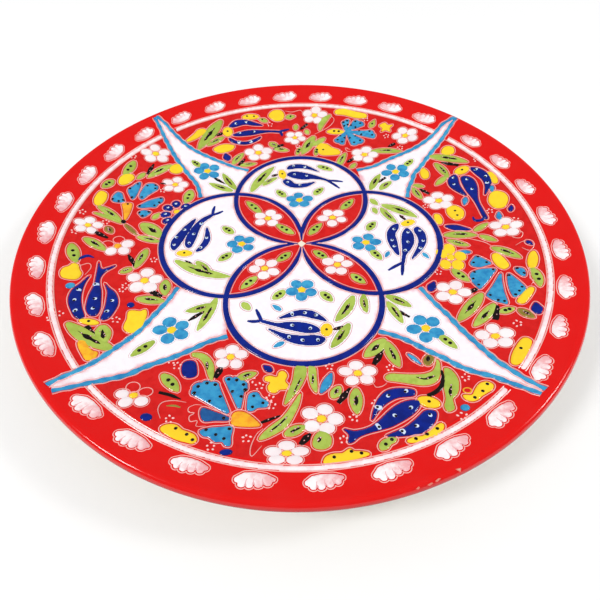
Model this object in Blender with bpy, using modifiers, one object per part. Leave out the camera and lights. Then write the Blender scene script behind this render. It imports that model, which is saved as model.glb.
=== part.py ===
"""Hand painted ceramic wall plate with a wire hanger.

The plate is a turned clay body. Its face carries fired-on coats of coloured glaze, laid like
tiles: a rim band, a white ring in four lengths, four red fields, four white spikes with blue
edges, and a medallion of four interlaced circles. Raised enamel flowers stand on the coats.
A wire loop is threaded through two holes in the foot ring and tilts in them.

Units are metres, +Z is up. The origin is the centre of the foot ring's resting plane.
"""

import math

import bmesh
import bpy
from mathutils import Matrix, Vector

MM = 0.001

# Plate
PLATE_R = 150 * MM
FACE_Z = 12.5 * MM
RISE = 18 * MM
WALL = 6.5 * MM
LIP_WIDTH = 2.1 * MM
LIP_HALF = 3.0 * MM
FOOT_OUT_R = 95 * MM
FOOT_IN_R = 88 * MM
FOOT_ROUND = 1.2 * MM
RECESS_Z = 5.5 * MM
SEGMENTS = 60
LIP_STEPS = 4

# Glaze coats and raised enamel
COAT = 0.6 * MM
GAP = 0.3 * MM
RELIEF = 0.6 * MM
RING_IN_R = 130.8 * MM
RING_OUT_R = 134.7 * MM
COAT_END = math.radians(-40)
STATIONS = [0, 52 * MM, 78 * MM, 97 * MM, 112 * MM, 123 * MM]
MEDALLION_STATIONS = [0, 52 * MM, 78 * MM, 97 * MM]
MEDALLION_SEGMENTS = 30

# Painted pattern, turned and set a little off the plate's centre by hand
PATTERN_CENTRE = Vector((2.0 * MM, -0.5 * MM, 0))
PATTERN_TURN = math.radians(-1.3)
CIRCLE_R = 40 * MM
LINE_W = 2.9 * MM
CIRCLE_SEGMENTS = 40
SPIKE_BASE = Vector((69.5 * MM, 21.5 * MM))
SPIKE_BEND = Vector((99.3 * MM, 11.7 * MM))
SPIKE_TIP = Vector((146.5 * MM, 0))
SPIKE_STEPS = 7
EDGE_W = 2.8 * MM

# Raised flowers, each placed once and repeated by quarter turns: (radius, degrees) or (x, y)
FIELD_CALYX = (117.5 * MM, 27.5)
FIELD_TAIL = (112 * MM, 7.5)
CARNATION_ROOT = (112 * MM, -12.5)
CARNATION_TOP = (108 * MM, -28)
CARNATION_SPREAD = math.radians(52)
CARNATION_LOBES = 5
MEDALLION_CALYX = Vector((65 * MM, 11 * MM))
MEDALLION_TAIL = Vector((51.5 * MM, -26 * MM))
TULIP_HALF = [(0, 0.10), (0.10, 0.19), (0.28, 0.23), (0.50, 0.15), (0.72, 0.05), (0.86, 0.06), (1, 0.15)]
TULIP_NOTCH = (0.88, 0)

# Hanger
HOLE_R = 1.6 * MM
HOLE_Z = 3.0 * MM
HOLE_ANGLE = math.radians(15)
HOLE_MID_R = 0.5 * (FOOT_OUT_R + FOOT_IN_R)
WIRE_R = 0.5 * MM
WIRE_BEND = 2.0 * MM
BRIDGE_Y = 83.2 * MM
SHOULDER_R = 98.5 * MM
NECK_HALF = 0.9 * MM
NECK_LOW_Y = 109 * MM
NECK_HIGH_Y = 111 * MM
EYE_R = 3.2 * MM
EYE_STEPS = 14

RED = (0.62, 0.012, 0.010)
CLAY = (0.78, 0.70, 0.60)
WHITE = (0.86, 0.80, 0.79)
COBALT = (0.010, 0.035, 0.30)
TURQUOISE = (0.045, 0.33, 0.66)
STEEL = (0.55, 0.54, 0.52)


def clear_scene():
    for item in list(bpy.data.objects):
        bpy.data.objects.remove(item, do_unlink=True)


def new_collection(name):
    collection = bpy.data.collections.new(name)
    bpy.context.scene.collection.children.link(collection)
    return collection


def material(name, colour, roughness, metallic=0.0):
    made = bpy.data.materials.new(name)
    made.use_nodes = True
    shader = made.node_tree.nodes["Principled BSDF"]
    shader.inputs["Base Color"].default_value = (*colour, 1.0)
    shader.inputs["Roughness"].default_value = roughness
    shader.inputs["Metallic"].default_value = metallic
    return made


clear_scene()
PARTS = new_collection("ceramic_plate")
CUTTERS = new_collection("cutters")
CLAY_FINISH = material("glazed_clay", CLAY, 0.35)
RED_FINISH = material("red_glaze", RED, 0.12)
WHITE_FINISH = material("white_glaze", WHITE, 0.15)
COBALT_FINISH = material("cobalt_glaze", COBALT, 0.12)
TURQUOISE_FINISH = material("turquoise_glaze", TURQUOISE, 0.12)
WIRE_FINISH = material("hanger_wire", STEEL, 0.3, 1.0)


def face_z(r):
    """Height of the finished face: nearly flat in the middle, turning up towards the lip."""
    return FACE_Z + RISE * (r / PLATE_R) ** 4


def add_object(name, mesh, collection):
    made = bpy.data.objects.new(name, mesh)
    collection.objects.link(made)
    return made


def as_cutter(cutter):
    cutter.hide_render = True
    cutter.display_type = "WIRE"
    return cutter


def mesh_from_outline(name, points, closed):
    """Edges through points, for a modifier to turn into a solid."""
    edges = [(i, i + 1) for i in range(len(points) - 1)]
    if closed:
        edges.append((len(points) - 1, 0))
    mesh = bpy.data.meshes.new(name)
    mesh.from_pydata(points, edges, [])
    return mesh


def turned(name, profile, collection, closed, segments=SEGMENTS):
    """A profile of (radius, height) points turned about Z."""
    points = [(r, 0, z) for r, z in profile]
    made = add_object(name, mesh_from_outline(name, points, closed), collection)
    screw = made.modifiers.new("turn", "SCREW")
    screw.axis = "Z"
    screw.angle = math.tau
    screw.steps = segments
    screw.render_steps = segments
    screw.use_merge_vertices = True
    screw.merge_threshold = 0.00005
    screw.use_normal_calculate = True
    return made


def baked(source, name, collection):
    """A plain mesh object of another object's evaluated shape."""
    depsgraph = bpy.context.evaluated_depsgraph_get()
    mesh = bpy.data.meshes.new_from_object(source.evaluated_get(depsgraph))
    mesh.name = name
    made = add_object(name, mesh, collection)
    made.matrix_world = source.matrix_world
    return made


def boolean(target, cutter, operation):
    cut = target.modifiers.new(operation.lower(), "BOOLEAN")
    cut.operation = operation
    cut.solver = "EXACT"
    cut.object = cutter


def prism(name, outline, low=0.0, high=60 * MM):
    """A flat outline of (x, y) points raised into an upright solid, as a cutter."""
    curve = bpy.data.curves.new(name, "CURVE")
    curve.dimensions = "2D"
    curve.fill_mode = "BOTH"
    curve.extrude = 0.5 * (high - low)
    spline = curve.splines.new("POLY")
    spline.points.add(len(outline) - 1)
    for point, (x, y) in zip(spline.points, outline):
        point.co = (x, y, 0, 1)
    spline.use_cyclic_u = True
    drawn = add_object(name + "_outline", curve, CUTTERS)
    bpy.context.view_layer.update()
    solid = baked(drawn, name, CUTTERS)
    bpy.data.objects.remove(drawn, do_unlink=True)
    weld(solid.data)
    solid.location.z = 0.5 * (low + high)
    return as_cutter(solid)


def weld(mesh):
    """Close a curve's caps onto its sides, with every face turned outwards."""
    edit = bmesh.new()
    edit.from_mesh(mesh)
    bmesh.ops.remove_doubles(edit, verts=edit.verts, dist=0.00001)
    bmesh.ops.recalc_face_normals(edit, faces=edit.faces)
    if edit.calc_volume(signed=True) < 0:
        bmesh.ops.reverse_faces(edit, faces=edit.faces)
    edit.to_mesh(mesh)
    edit.free()


# Cutters -------------------------------------------------------------------------------------

def turn_pattern(x, y):
    """A point of the painted pattern, in the plate's own axes."""
    point = Matrix.Rotation(PATTERN_TURN, 3, "Z") @ Vector((x, y, 0)) + PATTERN_CENTRE
    return point.x, point.y


def quarter(x, y, k):
    """A pattern point turned on by k quarter turns."""
    point = Matrix.Rotation(k * math.pi / 2, 3, "Z") @ Vector((x, y, 0))
    return turn_pattern(point.x, point.y)


def circle_cutter(name, k, radius, high):
    """An upright cylinder on the centre of medallion circle k."""
    x, y = quarter(CIRCLE_R, 0, k)
    bpy.ops.mesh.primitive_cylinder_add(
        vertices=CIRCLE_SEGMENTS, radius=radius, depth=high, location=(x, y, 0.5 * high))
    made = bpy.context.object
    made.name = name
    for collection in made.users_collection:
        collection.objects.unlink(made)
    CUTTERS.objects.link(made)
    return as_cutter(made)


def spike_side(offset):
    """One side of a spike, base to tip, along +X, moved towards the spike's middle by offset."""
    points = []
    for step in range(SPIKE_STEPS + 1):
        t = step / SPIKE_STEPS
        place = (1 - t) ** 2 * SPIKE_BASE + 2 * t * (1 - t) * SPIKE_BEND + t ** 2 * SPIKE_TIP
        along = (1 - t) * (SPIKE_BEND - SPIKE_BASE) + t * (SPIKE_TIP - SPIKE_BEND)
        along.normalize()
        point = place + offset * Vector((along.y, -along.x))
        if point.y <= 0:
            break
        points.append(point)
    last = points[-1]
    ahead = points[-1] - points[-2]
    reach = last.x + ahead.x * (last.y / -ahead.y)
    return [(p.x, p.y) for p in points] + [(reach, 0)]


def mirrored(points):
    return [(x, -y) for x, y in reversed(points)]


def spike_outline(k, offset):
    """The whole spike on diagonal k, drawn in to the pattern's centre."""
    side = spike_side(offset)
    outline = [(0, 0)] + side + mirrored(side)[1:]
    return [quarter(x, y, k + 0.5) for x, y in outline]


def edge_outline(k):
    """The blue edge of a spike: a long V with its point at the tip."""
    outer = spike_side(0)
    inner = spike_side(EDGE_W)
    outer = [(outer[0][0] - 2 * LINE_W, outer[0][1] + 0.5 * LINE_W)] + outer
    inner = [(inner[0][0] - 2 * LINE_W, inner[0][1] + 0.5 * LINE_W)] + inner
    outline = outer + mirrored(outer)[1:] + [(x, -y) for x, y in inner] + inner[::-1][1:]
    return [quarter(x, y, k + 0.5) for x, y in outline]


def wedge_outline(k):
    """The quarter of the face between spikes k - 1 and k, out beyond the lip."""
    side = spike_side(-GAP)
    far = 1.6 * PLATE_R
    first = [quarter(x, y, k - 0.5) for x, y in side]
    second = [quarter(x, -y, k + 0.5) for x, y in reversed(side)]
    corners = [quarter(far, -0.6 * far, k), quarter(far, 0.6 * far, k)]
    return [quarter(0, 0, k)] + first + corners + second


# Clay body -----------------------------------------------------------------------------------

def lip_point(angle, inset):
    """A point on the rounded lip, from straight up at 90 degrees round to straight down."""
    corner_r = PLATE_R - LIP_WIDTH
    middle_z = face_z(corner_r) - LIP_HALF
    width = LIP_WIDTH - inset
    half = LIP_HALF - inset
    return corner_r + width * math.cos(angle), middle_z + half * math.sin(angle)


def make_clay_body():
    """The thrown and turned plate: dished face, rounded lip, parallel back and foot ring."""
    inset = COAT + GAP
    radii = STATIONS + [RING_IN_R, RING_OUT_R, 141 * MM]
    face = [(r, face_z(r) - inset) for r in radii]
    lip = [lip_point(math.radians(a), inset) for a in (90, 60, 30, 0, -30, -60, -90)]
    back = [(r, face_z(r) - WALL) for r in (140 * MM, 128 * MM, 112 * MM)]
    foot = [
        (FOOT_OUT_R + 1.5 * MM, face_z(FOOT_OUT_R) - WALL),
        (FOOT_OUT_R, FOOT_ROUND),
        (FOOT_OUT_R - FOOT_ROUND, 0),
        (FOOT_IN_R + FOOT_ROUND, 0),
        (FOOT_IN_R, FOOT_ROUND),
        (FOOT_IN_R - 0.5 * MM, RECESS_Z),
        (0, RECESS_Z),
    ]
    body = turned("clay_body", face + lip + back + foot, PARTS, closed=False)
    body.data.materials.append(CLAY_FINISH)
    for side in (-1, 1):
        angle = math.pi / 2 + side * HOLE_ANGLE
        across = Vector((math.cos(angle), math.sin(angle), 0))
        bpy.ops.mesh.primitive_cylinder_add(
            vertices=16, radius=HOLE_R, depth=16 * MM,
            location=across * HOLE_MID_R + Vector((0, 0, HOLE_Z)),
            rotation=(0, math.pi / 2, angle))
        drill = bpy.context.object
        drill.name = "hanger_hole"
        for collection in drill.users_collection:
            collection.objects.unlink(drill)
        CUTTERS.objects.link(drill)
        boolean(body, as_cutter(drill), "DIFFERENCE")
    return body


# Coats ---------------------------------------------------------------------------------------

def make_shell(name, radii, low=-COAT, high=0.0, segments=SEGMENTS):
    """A layer over part of the face, kept as a blank that the coats are cut from."""
    top = [(r, face_z(r) + high) for r in radii]
    bottom = [(r, face_z(r) + low) for r in reversed(radii)]
    starts_on_axis = radii[0] == 0
    return as_cutter(turned(name, top + bottom, CUTTERS, not starts_on_axis, segments))


def make_coat(name, blank, finish, keep=(), cut=()):
    """A node cut from a blank layer: inside every keep cutter, outside every cut cutter."""
    coat = baked(blank, name, PARTS)
    coat.data.materials.clear()
    coat.data.materials.append(finish)
    for cutter in keep:
        boolean(coat, cutter, "INTERSECT")
    for cutter in cut:
        boolean(coat, cutter, "DIFFERENCE")
    return coat


def rim_profile():
    """The red band: over the lip from the ring, and back along the clay."""
    radii = [RING_OUT_R + 0.5 * GAP, 141 * MM]
    sweep = COAT_END - math.pi / 2
    angles = [math.pi / 2 + sweep * step / LIP_STEPS for step in range(LIP_STEPS + 1)]
    top = [(r, face_z(r)) for r in radii] + [lip_point(a, 0) for a in angles]
    under = [lip_point(a, COAT) for a in reversed(angles)]
    return top + under + [(r, face_z(r) - COAT) for r in reversed(radii)]


def make_lattice():
    """Four interlaced cobalt rings that all pass through the pattern's centre."""
    rings = None
    for k in range(4):
        ring = circle_cutter("lattice_ring", k, CIRCLE_R + 0.5 * LINE_W, (60 + 2 * k) * MM)
        hole = circle_cutter("lattice_hole", k, CIRCLE_R - 0.5 * LINE_W, 80 * MM)
        boolean(ring, hole, "DIFFERENCE")
        if rings is None:
            rings = ring
        else:
            boolean(rings, ring, "UNION")
    return make_coat("medallion_lattice", MEDALLION_BLANK, COBALT_FINISH, keep=[rings])


# Raised flowers ------------------------------------------------------------------------------

def polar(place, k):
    """A (radius, degrees) place on the plate, turned on by k quarter turns."""
    radius, degrees = place
    angle = math.radians(degrees + 90 * k)
    return Vector((radius * math.cos(angle), radius * math.sin(angle)))


def along(start, end, outline):
    """An outline drawn with (0, 0) at start and (1, 0) at end."""
    ahead = end - start
    left = Vector((-ahead.y, ahead.x))
    placed = [start + ahead * u + left * v for u, v in outline]
    return [(p.x, p.y) for p in placed]


def tulip_outline(calyx, tail):
    """A closed tulip with a forked tail, seen from the side."""
    return along(calyx, tail, TULIP_HALF + [TULIP_NOTCH] + mirrored(TULIP_HALF))


def carnation_outline(root, top):
    """An open carnation: a fan of round lobes on a narrow foot."""
    outline = [(0, -0.10)]
    steps = 4 * CARNATION_LOBES
    for step in range(steps + 1):
        angle = CARNATION_SPREAD * (2 * step / steps - 1)
        lobe = abs(math.sin(math.pi * step / 4))
        radius = 0.86 + 0.14 * lobe
        outline.append((radius * math.cos(angle), radius * math.sin(angle)))
    outline.append((0, 0.10))
    return along(root, top, outline)


def make_flower(name, blank, finish, outline):
    return make_coat(name, blank, finish, keep=[prism(name + "_cut", outline)])


# Hanger --------------------------------------------------------------------------------------

def rounded(points, radius, steps=3):
    """An open path of points with each inner corner turned into an arc."""
    path = [points[0]]
    for before, corner, after in zip(points, points[1:], points[2:]):
        arriving = (corner - before).normalized()
        leaving = (after - corner).normalized()
        turn = arriving.angle(leaving)
        reach = radius * math.tan(0.5 * turn)
        start = corner - arriving * reach
        end = corner + leaving * reach
        for step in range(steps + 1):
            t = step / steps
            path.append((1 - t) ** 2 * start + 2 * t * (1 - t) * corner + t ** 2 * end)
    path.append(points[-1])
    return path


def make_hanging_wire():
    """A soft wire loop: across behind the foot ring, out through both holes, to an eye."""
    hinge = Vector((0, HOLE_MID_R * math.cos(HOLE_ANGLE), HOLE_Z))
    outward = Vector((math.sin(HOLE_ANGLE), math.cos(HOLE_ANGLE)))
    corners = [
        Vector((0, BRIDGE_Y)),
        outward * (BRIDGE_Y / outward.y),
        outward * SHOULDER_R,
        Vector((NECK_HALF, NECK_LOW_Y)),
        Vector((NECK_HALF, NECK_HIGH_Y)),
    ]
    right = rounded(corners, WIRE_BEND)
    half_gap = math.asin(NECK_HALF / EYE_R)
    eye_y = NECK_HIGH_Y + EYE_R * math.cos(half_gap)
    eye = []
    for step in range(1, EYE_STEPS):
        angle = half_gap + (math.tau - 2 * half_gap) * step / EYE_STEPS - math.pi / 2
        eye.append(Vector((EYE_R * math.cos(angle), eye_y + EYE_R * math.sin(angle))))
    left = [Vector((-p.x, p.y)) for p in reversed(right[1:])]
    path = right + eye + left
    curve = bpy.data.curves.new("hanging_wire_path", "CURVE")
    curve.dimensions = "3D"
    curve.bevel_depth = WIRE_R
    curve.bevel_resolution = 1
    spline = curve.splines.new("POLY")
    spline.points.add(len(path) - 1)
    for point, place in zip(spline.points, path):
        point.co = (place.x, place.y - hinge.y, 0, 1)
    spline.use_cyclic_u = True
    drawn = add_object("hanging_wire_path", curve, CUTTERS)
    drawn.location = hinge
    bpy.context.view_layer.update()
    wire = baked(drawn, "hanging_wire", PARTS)
    bpy.data.objects.remove(drawn, do_unlink=True)
    weld(wire.data)
    wire.data.materials.append(WIRE_FINISH)
    wire.data.shade_smooth()
    return wire


SIDES = ("east", "north", "west", "south")
DIAGONALS = ("northeast", "northwest", "southwest", "southeast")

make_clay_body()
make_hanging_wire()

FACE_BLANK = make_shell("face_blank", STATIONS + [RING_IN_R - 0.5 * GAP])
RING_BLANK = make_shell("ring_blank", [RING_IN_R + 0.5 * GAP, RING_OUT_R - 0.5 * GAP])
SPIKE_BLANK = make_shell("spike_blank", STATIONS + [RING_IN_R, RING_OUT_R, 141 * MM, 147.4 * MM])
MEDALLION_BLANK = make_shell("medallion_blank", MEDALLION_STATIONS, segments=MEDALLION_SEGMENTS)
FIELD_RELIEF = make_shell("field_relief", STATIONS + [RING_IN_R], GAP, GAP + RELIEF)
MEDALLION_RELIEF = make_shell(
    "medallion_relief", MEDALLION_STATIONS, GAP, GAP + RELIEF, MEDALLION_SEGMENTS)
INSIDE = [circle_cutter("circle_inside", k, CIRCLE_R - 0.5 * LINE_W - GAP, 60 * MM) for k in range(4)]
OUTSIDE = [circle_cutter("circle_outside", k, CIRCLE_R + 0.5 * LINE_W + GAP, 62 * MM) for k in range(4)]

make_lattice()
rim_blank = as_cutter(turned("rim_blank", rim_profile(), CUTTERS, closed=True))
spike_clearances = [prism("spike_clearance", spike_outline(k, -GAP)) for k in range(4)]
make_coat("rim_band", rim_blank, RED_FINISH, cut=spike_clearances)
for k in range(4):
    wedge = prism("wedge", wedge_outline(k))
    side = SIDES[k]
    diagonal = DIAGONALS[k]
    after = (k + 1) % 4
    before = (k - 1) % 4
    make_coat("red_field_" + side, FACE_BLANK, RED_FINISH, keep=[wedge], cut=[OUTSIDE[k]])
    make_coat("ring_" + side, RING_BLANK, WHITE_FINISH, keep=[wedge])
    make_coat("white_ground_" + side, MEDALLION_BLANK, WHITE_FINISH,
              keep=[INSIDE[k]], cut=[OUTSIDE[after], OUTSIDE[before]])
    make_coat("red_lens_" + diagonal, MEDALLION_BLANK, RED_FINISH, keep=[INSIDE[k], INSIDE[after]])
    spike = prism("spike_cut", spike_outline(k, EDGE_W + GAP))
    edge = prism("edge_cut", edge_outline(k))
    bases = [OUTSIDE[k], OUTSIDE[after]]
    make_coat("white_spike_" + diagonal, SPIKE_BLANK, WHITE_FINISH, keep=[spike], cut=bases)
    make_coat("blue_edge_" + diagonal, SPIKE_BLANK, TURQUOISE_FINISH, keep=[edge], cut=bases)
    field_tulip = tulip_outline(polar(FIELD_CALYX, k), polar(FIELD_TAIL, k))
    carnation = carnation_outline(polar(CARNATION_ROOT, k), polar(CARNATION_TOP, k))
    medallion_tulip = tulip_outline(
        Vector(quarter(*MEDALLION_CALYX, k)), Vector(quarter(*MEDALLION_TAIL, k)))
    make_flower("field_tulip_" + side, FIELD_RELIEF, COBALT_FINISH, field_tulip)
    make_flower("carnation_" + side, FIELD_RELIEF, TURQUOISE_FINISH, carnation)
    make_flower("medallion_tulip_" + side, MEDALLION_RELIEF, COBALT_FINISH, medallion_tulip)
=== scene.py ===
"""Looks of the hand painted plate: glazes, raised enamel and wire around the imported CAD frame.

The pattern is drawn flat, in millimetres, with the plate's centre at (0, 0) and its top at +Y, and
then laid over the dish. It is made of pools, which fill an outline and swell from its edge, and of
strokes, which are ridges along a line. Each pool and stroke is one closed solid.
"""

import math

import bpy
import numpy as np
from mathutils import Matrix, Vector, geometry


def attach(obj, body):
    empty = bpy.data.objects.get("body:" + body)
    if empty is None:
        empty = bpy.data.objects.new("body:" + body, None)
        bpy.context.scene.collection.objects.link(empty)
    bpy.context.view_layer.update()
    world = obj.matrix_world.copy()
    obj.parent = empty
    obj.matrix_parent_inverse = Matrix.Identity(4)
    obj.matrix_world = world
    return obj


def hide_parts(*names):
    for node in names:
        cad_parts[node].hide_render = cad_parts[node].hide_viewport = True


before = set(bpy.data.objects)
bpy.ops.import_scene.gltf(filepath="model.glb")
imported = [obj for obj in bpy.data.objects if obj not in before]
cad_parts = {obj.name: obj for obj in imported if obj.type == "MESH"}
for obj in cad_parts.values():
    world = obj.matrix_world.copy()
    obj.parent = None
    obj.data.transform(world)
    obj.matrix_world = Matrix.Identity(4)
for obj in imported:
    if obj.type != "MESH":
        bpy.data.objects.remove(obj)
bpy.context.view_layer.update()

MM = 0.001
SIDES = ("east", "north", "west", "south")

# Plate, as in the CAD
PLATE_R = 150.0
FACE_Z = 12.5
RISE = 18.0
WALL = 6.5
LIP_WIDTH = 2.1
LIP_HALF = 3.0
RECESS_Z = 5.5
COAT_END = math.radians(-48)

# Painting
RING_CENTRE = np.array([0.3, -1.4])
RING_IN_R = 131.2
RING_OUT_R = 134.1
LINE_W = 3.3
STEP = 0.75
SUNK = 0.35
SHARP = math.radians(50)

# Meshing of pools
GRID_ROW = 0.87
GRID_CLEAR = 0.55
WIDE_POOL = 25
EDGE_DROP = 0.02
ON_EDGE = 1e-4
WELD = 1e-5

# Sections of strokes
TAPER_SHARE = 0.35
LOWEST = 0.35

# Glaze surface
GLAZE_IOR = 1.5
RIPPLE_MM = 0.25
GRAIN_MM = 0.012

RANDOM = np.random.default_rng(7)


def srgb(red, green, blue):
    """A linear colour from 0 to 255 display values."""
    linear = []
    for value in (red, green, blue):
        part = value / 255
        linear.append(part / 12.92 if part <= 0.04045 else ((part + 0.055) / 1.055) ** 2.4)
    return (*linear, 1.0)


def face_z(x, y):
    """Height of the glazed face over a place on the plate."""
    ratio = (x * x + y * y) / PLATE_R ** 2
    return FACE_Z + RISE * ratio * ratio


# Lines and outlines --------------------------------------------------------------------------

def resampled(points, step, closed):
    """The same line with evenly spaced points."""
    line = np.vstack([points, points[:1]]) if closed else points
    lengths = np.hypot(*np.diff(line, axis=0).T)
    along = np.concatenate([[0], np.cumsum(lengths)])
    count = max(int(round(along[-1] / step)), 4)
    places = np.linspace(0, along[-1], count, endpoint=False) if closed else np.linspace(
        0, along[-1], count + 1)
    return np.column_stack([np.interp(places, along, line[:, i]) for i in (0, 1)])


def curve(points, closed=True, step=STEP):
    """A smooth line through points."""
    given = np.array(points, float)
    if closed:
        posts = np.vstack([given[-1:], given, given[:2]])
    else:
        posts = np.vstack([2 * given[:1] - given[1:2], given, 2 * given[-1:] - given[-2:-1]])
    t = np.linspace(0, 1, 10, endpoint=False)[:, None]
    pieces = []
    for a, b, c, d in zip(posts, posts[1:], posts[2:], posts[3:]):
        pieces.append(0.5 * (2 * b + (c - a) * t + (2 * a - 5 * b + 4 * c - d) * t ** 2
                             + (3 * b - a - 3 * c + d) * t ** 3))
    if not closed:
        pieces.append(given[-1:])
    return resampled(np.vstack(pieces), step, closed)


def placed(points, x, y, turn=0.0, size=1.0):
    """Local points scaled, turned by degrees and moved to (x, y)."""
    shape = np.array(points, float) * size
    c, s = math.cos(math.radians(turn)), math.sin(math.radians(turn))
    return shape @ np.array([[c, s], [-s, c]]) + np.array([x, y])


def oval(x, y, long, wide, turn=0.0):
    """An ellipse with half lengths long and wide, its long axis turned by degrees."""
    angles = np.linspace(0, math.tau, 24, endpoint=False)
    ring = np.column_stack([long * np.cos(angles), wide * np.sin(angles)])
    return resampled(placed(ring, x, y, turn), STEP, True)


def area(outline):
    """Signed area, positive for a counterclockwise outline."""
    x, y = outline.T
    return 0.5 * float(np.sum(x * np.roll(y, -1) - y * np.roll(x, -1)))


def inside(points, outline):
    """Which points lie inside a closed outline."""
    x, y = points[:, 0][:, None], points[:, 1][:, None]
    ax, ay = outline.T
    bx, by = np.roll(ax, -1), np.roll(ay, -1)
    crosses = (ay > y) != (by > y)
    with np.errstate(divide="ignore", invalid="ignore"):
        at = ax + (y - ay) / (by - ay) * (bx - ax)
    return np.sum(crosses & (x < at), axis=1) % 2 == 1


def distance(points, outline):
    """How far each point is from a closed outline."""
    nearest = np.full(len(points), 1e9)
    starts = outline
    ends = np.roll(outline, -1, axis=0)
    spans = ends - starts
    squares = np.maximum((spans ** 2).sum(axis=1), 1e-12)
    for first in range(0, len(points), 2000):
        block = points[first:first + 2000, None, :] - starts[None]
        t = np.clip((block * spans[None]).sum(axis=2) / squares, 0, 1)
        gaps = np.hypot(*np.moveaxis(block - t[..., None] * spans[None], 2, 0))
        nearest[first:first + 2000] = gaps.min(axis=1)
    return nearest


def normals_of(path, closed):
    """Unit left-hand normals along a line."""
    if closed:
        ahead = np.roll(path, -1, axis=0) - np.roll(path, 1, axis=0)
    else:
        ahead = np.gradient(path, axis=0)
    ahead /= np.maximum(np.hypot(*ahead.T), 1e-9)[:, None]
    return np.column_stack([-ahead[:, 1], ahead[:, 0]])


# Pieces --------------------------------------------------------------------------------------

class Piece:
    """One object, gathered from many solids. Each point knows how far it lies from its glaze's
    edge, its share along the glaze's shading, and a random tint of its solid."""

    def __init__(self, name):
        self.name = name
        self.glazes = []
        self.points = []
        self.faces = []
        self.slots = []
        self.values = {"edge": [], "shade": [], "tint": []}
        self.count = 0

    def add(self, points, faces, glaze, edge, shade):
        if glaze not in self.glazes:
            self.glazes.append(glaze)
        start = self.count
        self.points.append(points)
        self.faces.extend([tuple(start + i for i in face) for face in faces])
        self.slots.extend([self.glazes.index(glaze)] * len(faces))
        self.values["edge"].append(edge)
        self.values["shade"].append(shade)
        self.values["tint"].append(np.full(len(points), RANDOM.random()))
        self.count += len(points)

    def build(self, *nodes, slot):
        """Make the object on the plate's body, in place of the named CAD nodes."""
        mesh = bpy.data.meshes.new(self.name)
        mesh.from_pydata((np.vstack(self.points) * MM).tolist(), [], self.faces)
        for glaze in self.glazes:
            mesh.materials.append(glaze)
        mesh.polygons.foreach_set("material_index", self.slots)
        for name, parts in self.values.items():
            layer = mesh.attributes.new(name, "FLOAT", "POINT")
            layer.data.foreach_set("value", np.concatenate(parts).astype(np.float32))
        mesh.shade_smooth()
        mesh.set_sharp_from_angle(angle=SHARP)
        made = bpy.data.objects.new(self.name, mesh)
        bpy.context.scene.collection.objects.link(made)
        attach(made, "plate")
        if nodes:
            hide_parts(*nodes)


def grid_inside(outline, step):
    """Places in a triangular grid within an outline, none too near to its line."""
    low, top = outline.min(axis=0), outline.max(axis=0)
    columns = np.arange(low[0], top[0], step)
    rows = np.arange(low[1], top[1], step * GRID_ROW)
    grid_x, grid_y = np.meshgrid(columns, rows)
    grid_x = grid_x + (np.arange(len(rows)) % 2)[:, None] * 0.5 * step
    grid = np.column_stack([grid_x.ravel(), grid_y.ravel()])
    grid = grid[inside(grid, outline)]
    if len(grid):
        grid = grid[distance(grid, outline) > GRID_CLEAR * step]
    return grid


def share_along(places, shade):
    """How far each place lies along a shading, from 0 to 1."""
    if shade is None:
        return np.zeros(len(places))
    start, end = np.array(shade[0], float), np.array(shade[1], float)
    span = end - start
    return np.clip(((places - start) @ span) / (span @ span), 0, 1)


def pool(piece, glaze, outline, high=0.55, soft=0.9, lift=0.0, shade=None, step=STEP):
    """Glaze inside a closed outline, rounded over soft millimetres at its edge. shade is a pair of
    places between which the shading runs. An outline that crosses itself is left bare."""
    if area(outline) < 0:
        outline = outline[::-1]
    grid = grid_inside(outline, step)
    flat = [Vector(p) for p in np.vstack([outline, grid]).tolist()]
    ring = list(range(len(outline)))
    filled = geometry.delaunay_2d_cdt(flat, [], [ring], 1, WELD)
    places = np.array([tuple(p) for p in filled[0]])
    edge = distance(places, outline)
    edge[edge < ON_EDGE] = 0
    share = np.clip(edge / soft, 0, 1)
    height = lift + high * np.sqrt(1 - (1 - share) ** 2)
    tops = np.column_stack([places, face_z(*places.T) + height - EDGE_DROP])
    if np.ptp(outline, axis=0).max() > WIDE_POOL:
        below, under = places, filled
    else:
        below = outline
        under = geometry.delaunay_2d_cdt([Vector(p) for p in outline.tolist()], [], [ring], 1,
                                         WELD)
    base = np.column_stack([below, face_z(*below.T) + lift - SUNK])
    if len(under[0]) != len(below) or len(places) != len(flat):
        return
    count = len(places)
    faces = [tuple(face) for face in filled[2]]
    faces += [tuple(count + i for i in reversed(face)) for face in under[2]]
    size = len(outline)
    faces += [(i, count + i, count + (i + 1) % size, (i + 1) % size) for i in ring]
    piece.add(np.vstack([tops, base]), faces, glaze,
              np.concatenate([edge, np.zeros(len(below))]),
              np.concatenate([share_along(places, shade), share_along(below, shade)]))


def tapering(count, start, end):
    """Shares of the full width along an open stroke, with start and end at its ends."""
    t = np.linspace(0, 1, count)
    first = start + (1 - start) * np.clip(t / TAPER_SHARE, 0, 1)
    last = end + (1 - end) * np.clip((1 - t) / TAPER_SHARE, 0, 1)
    return first * last


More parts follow.
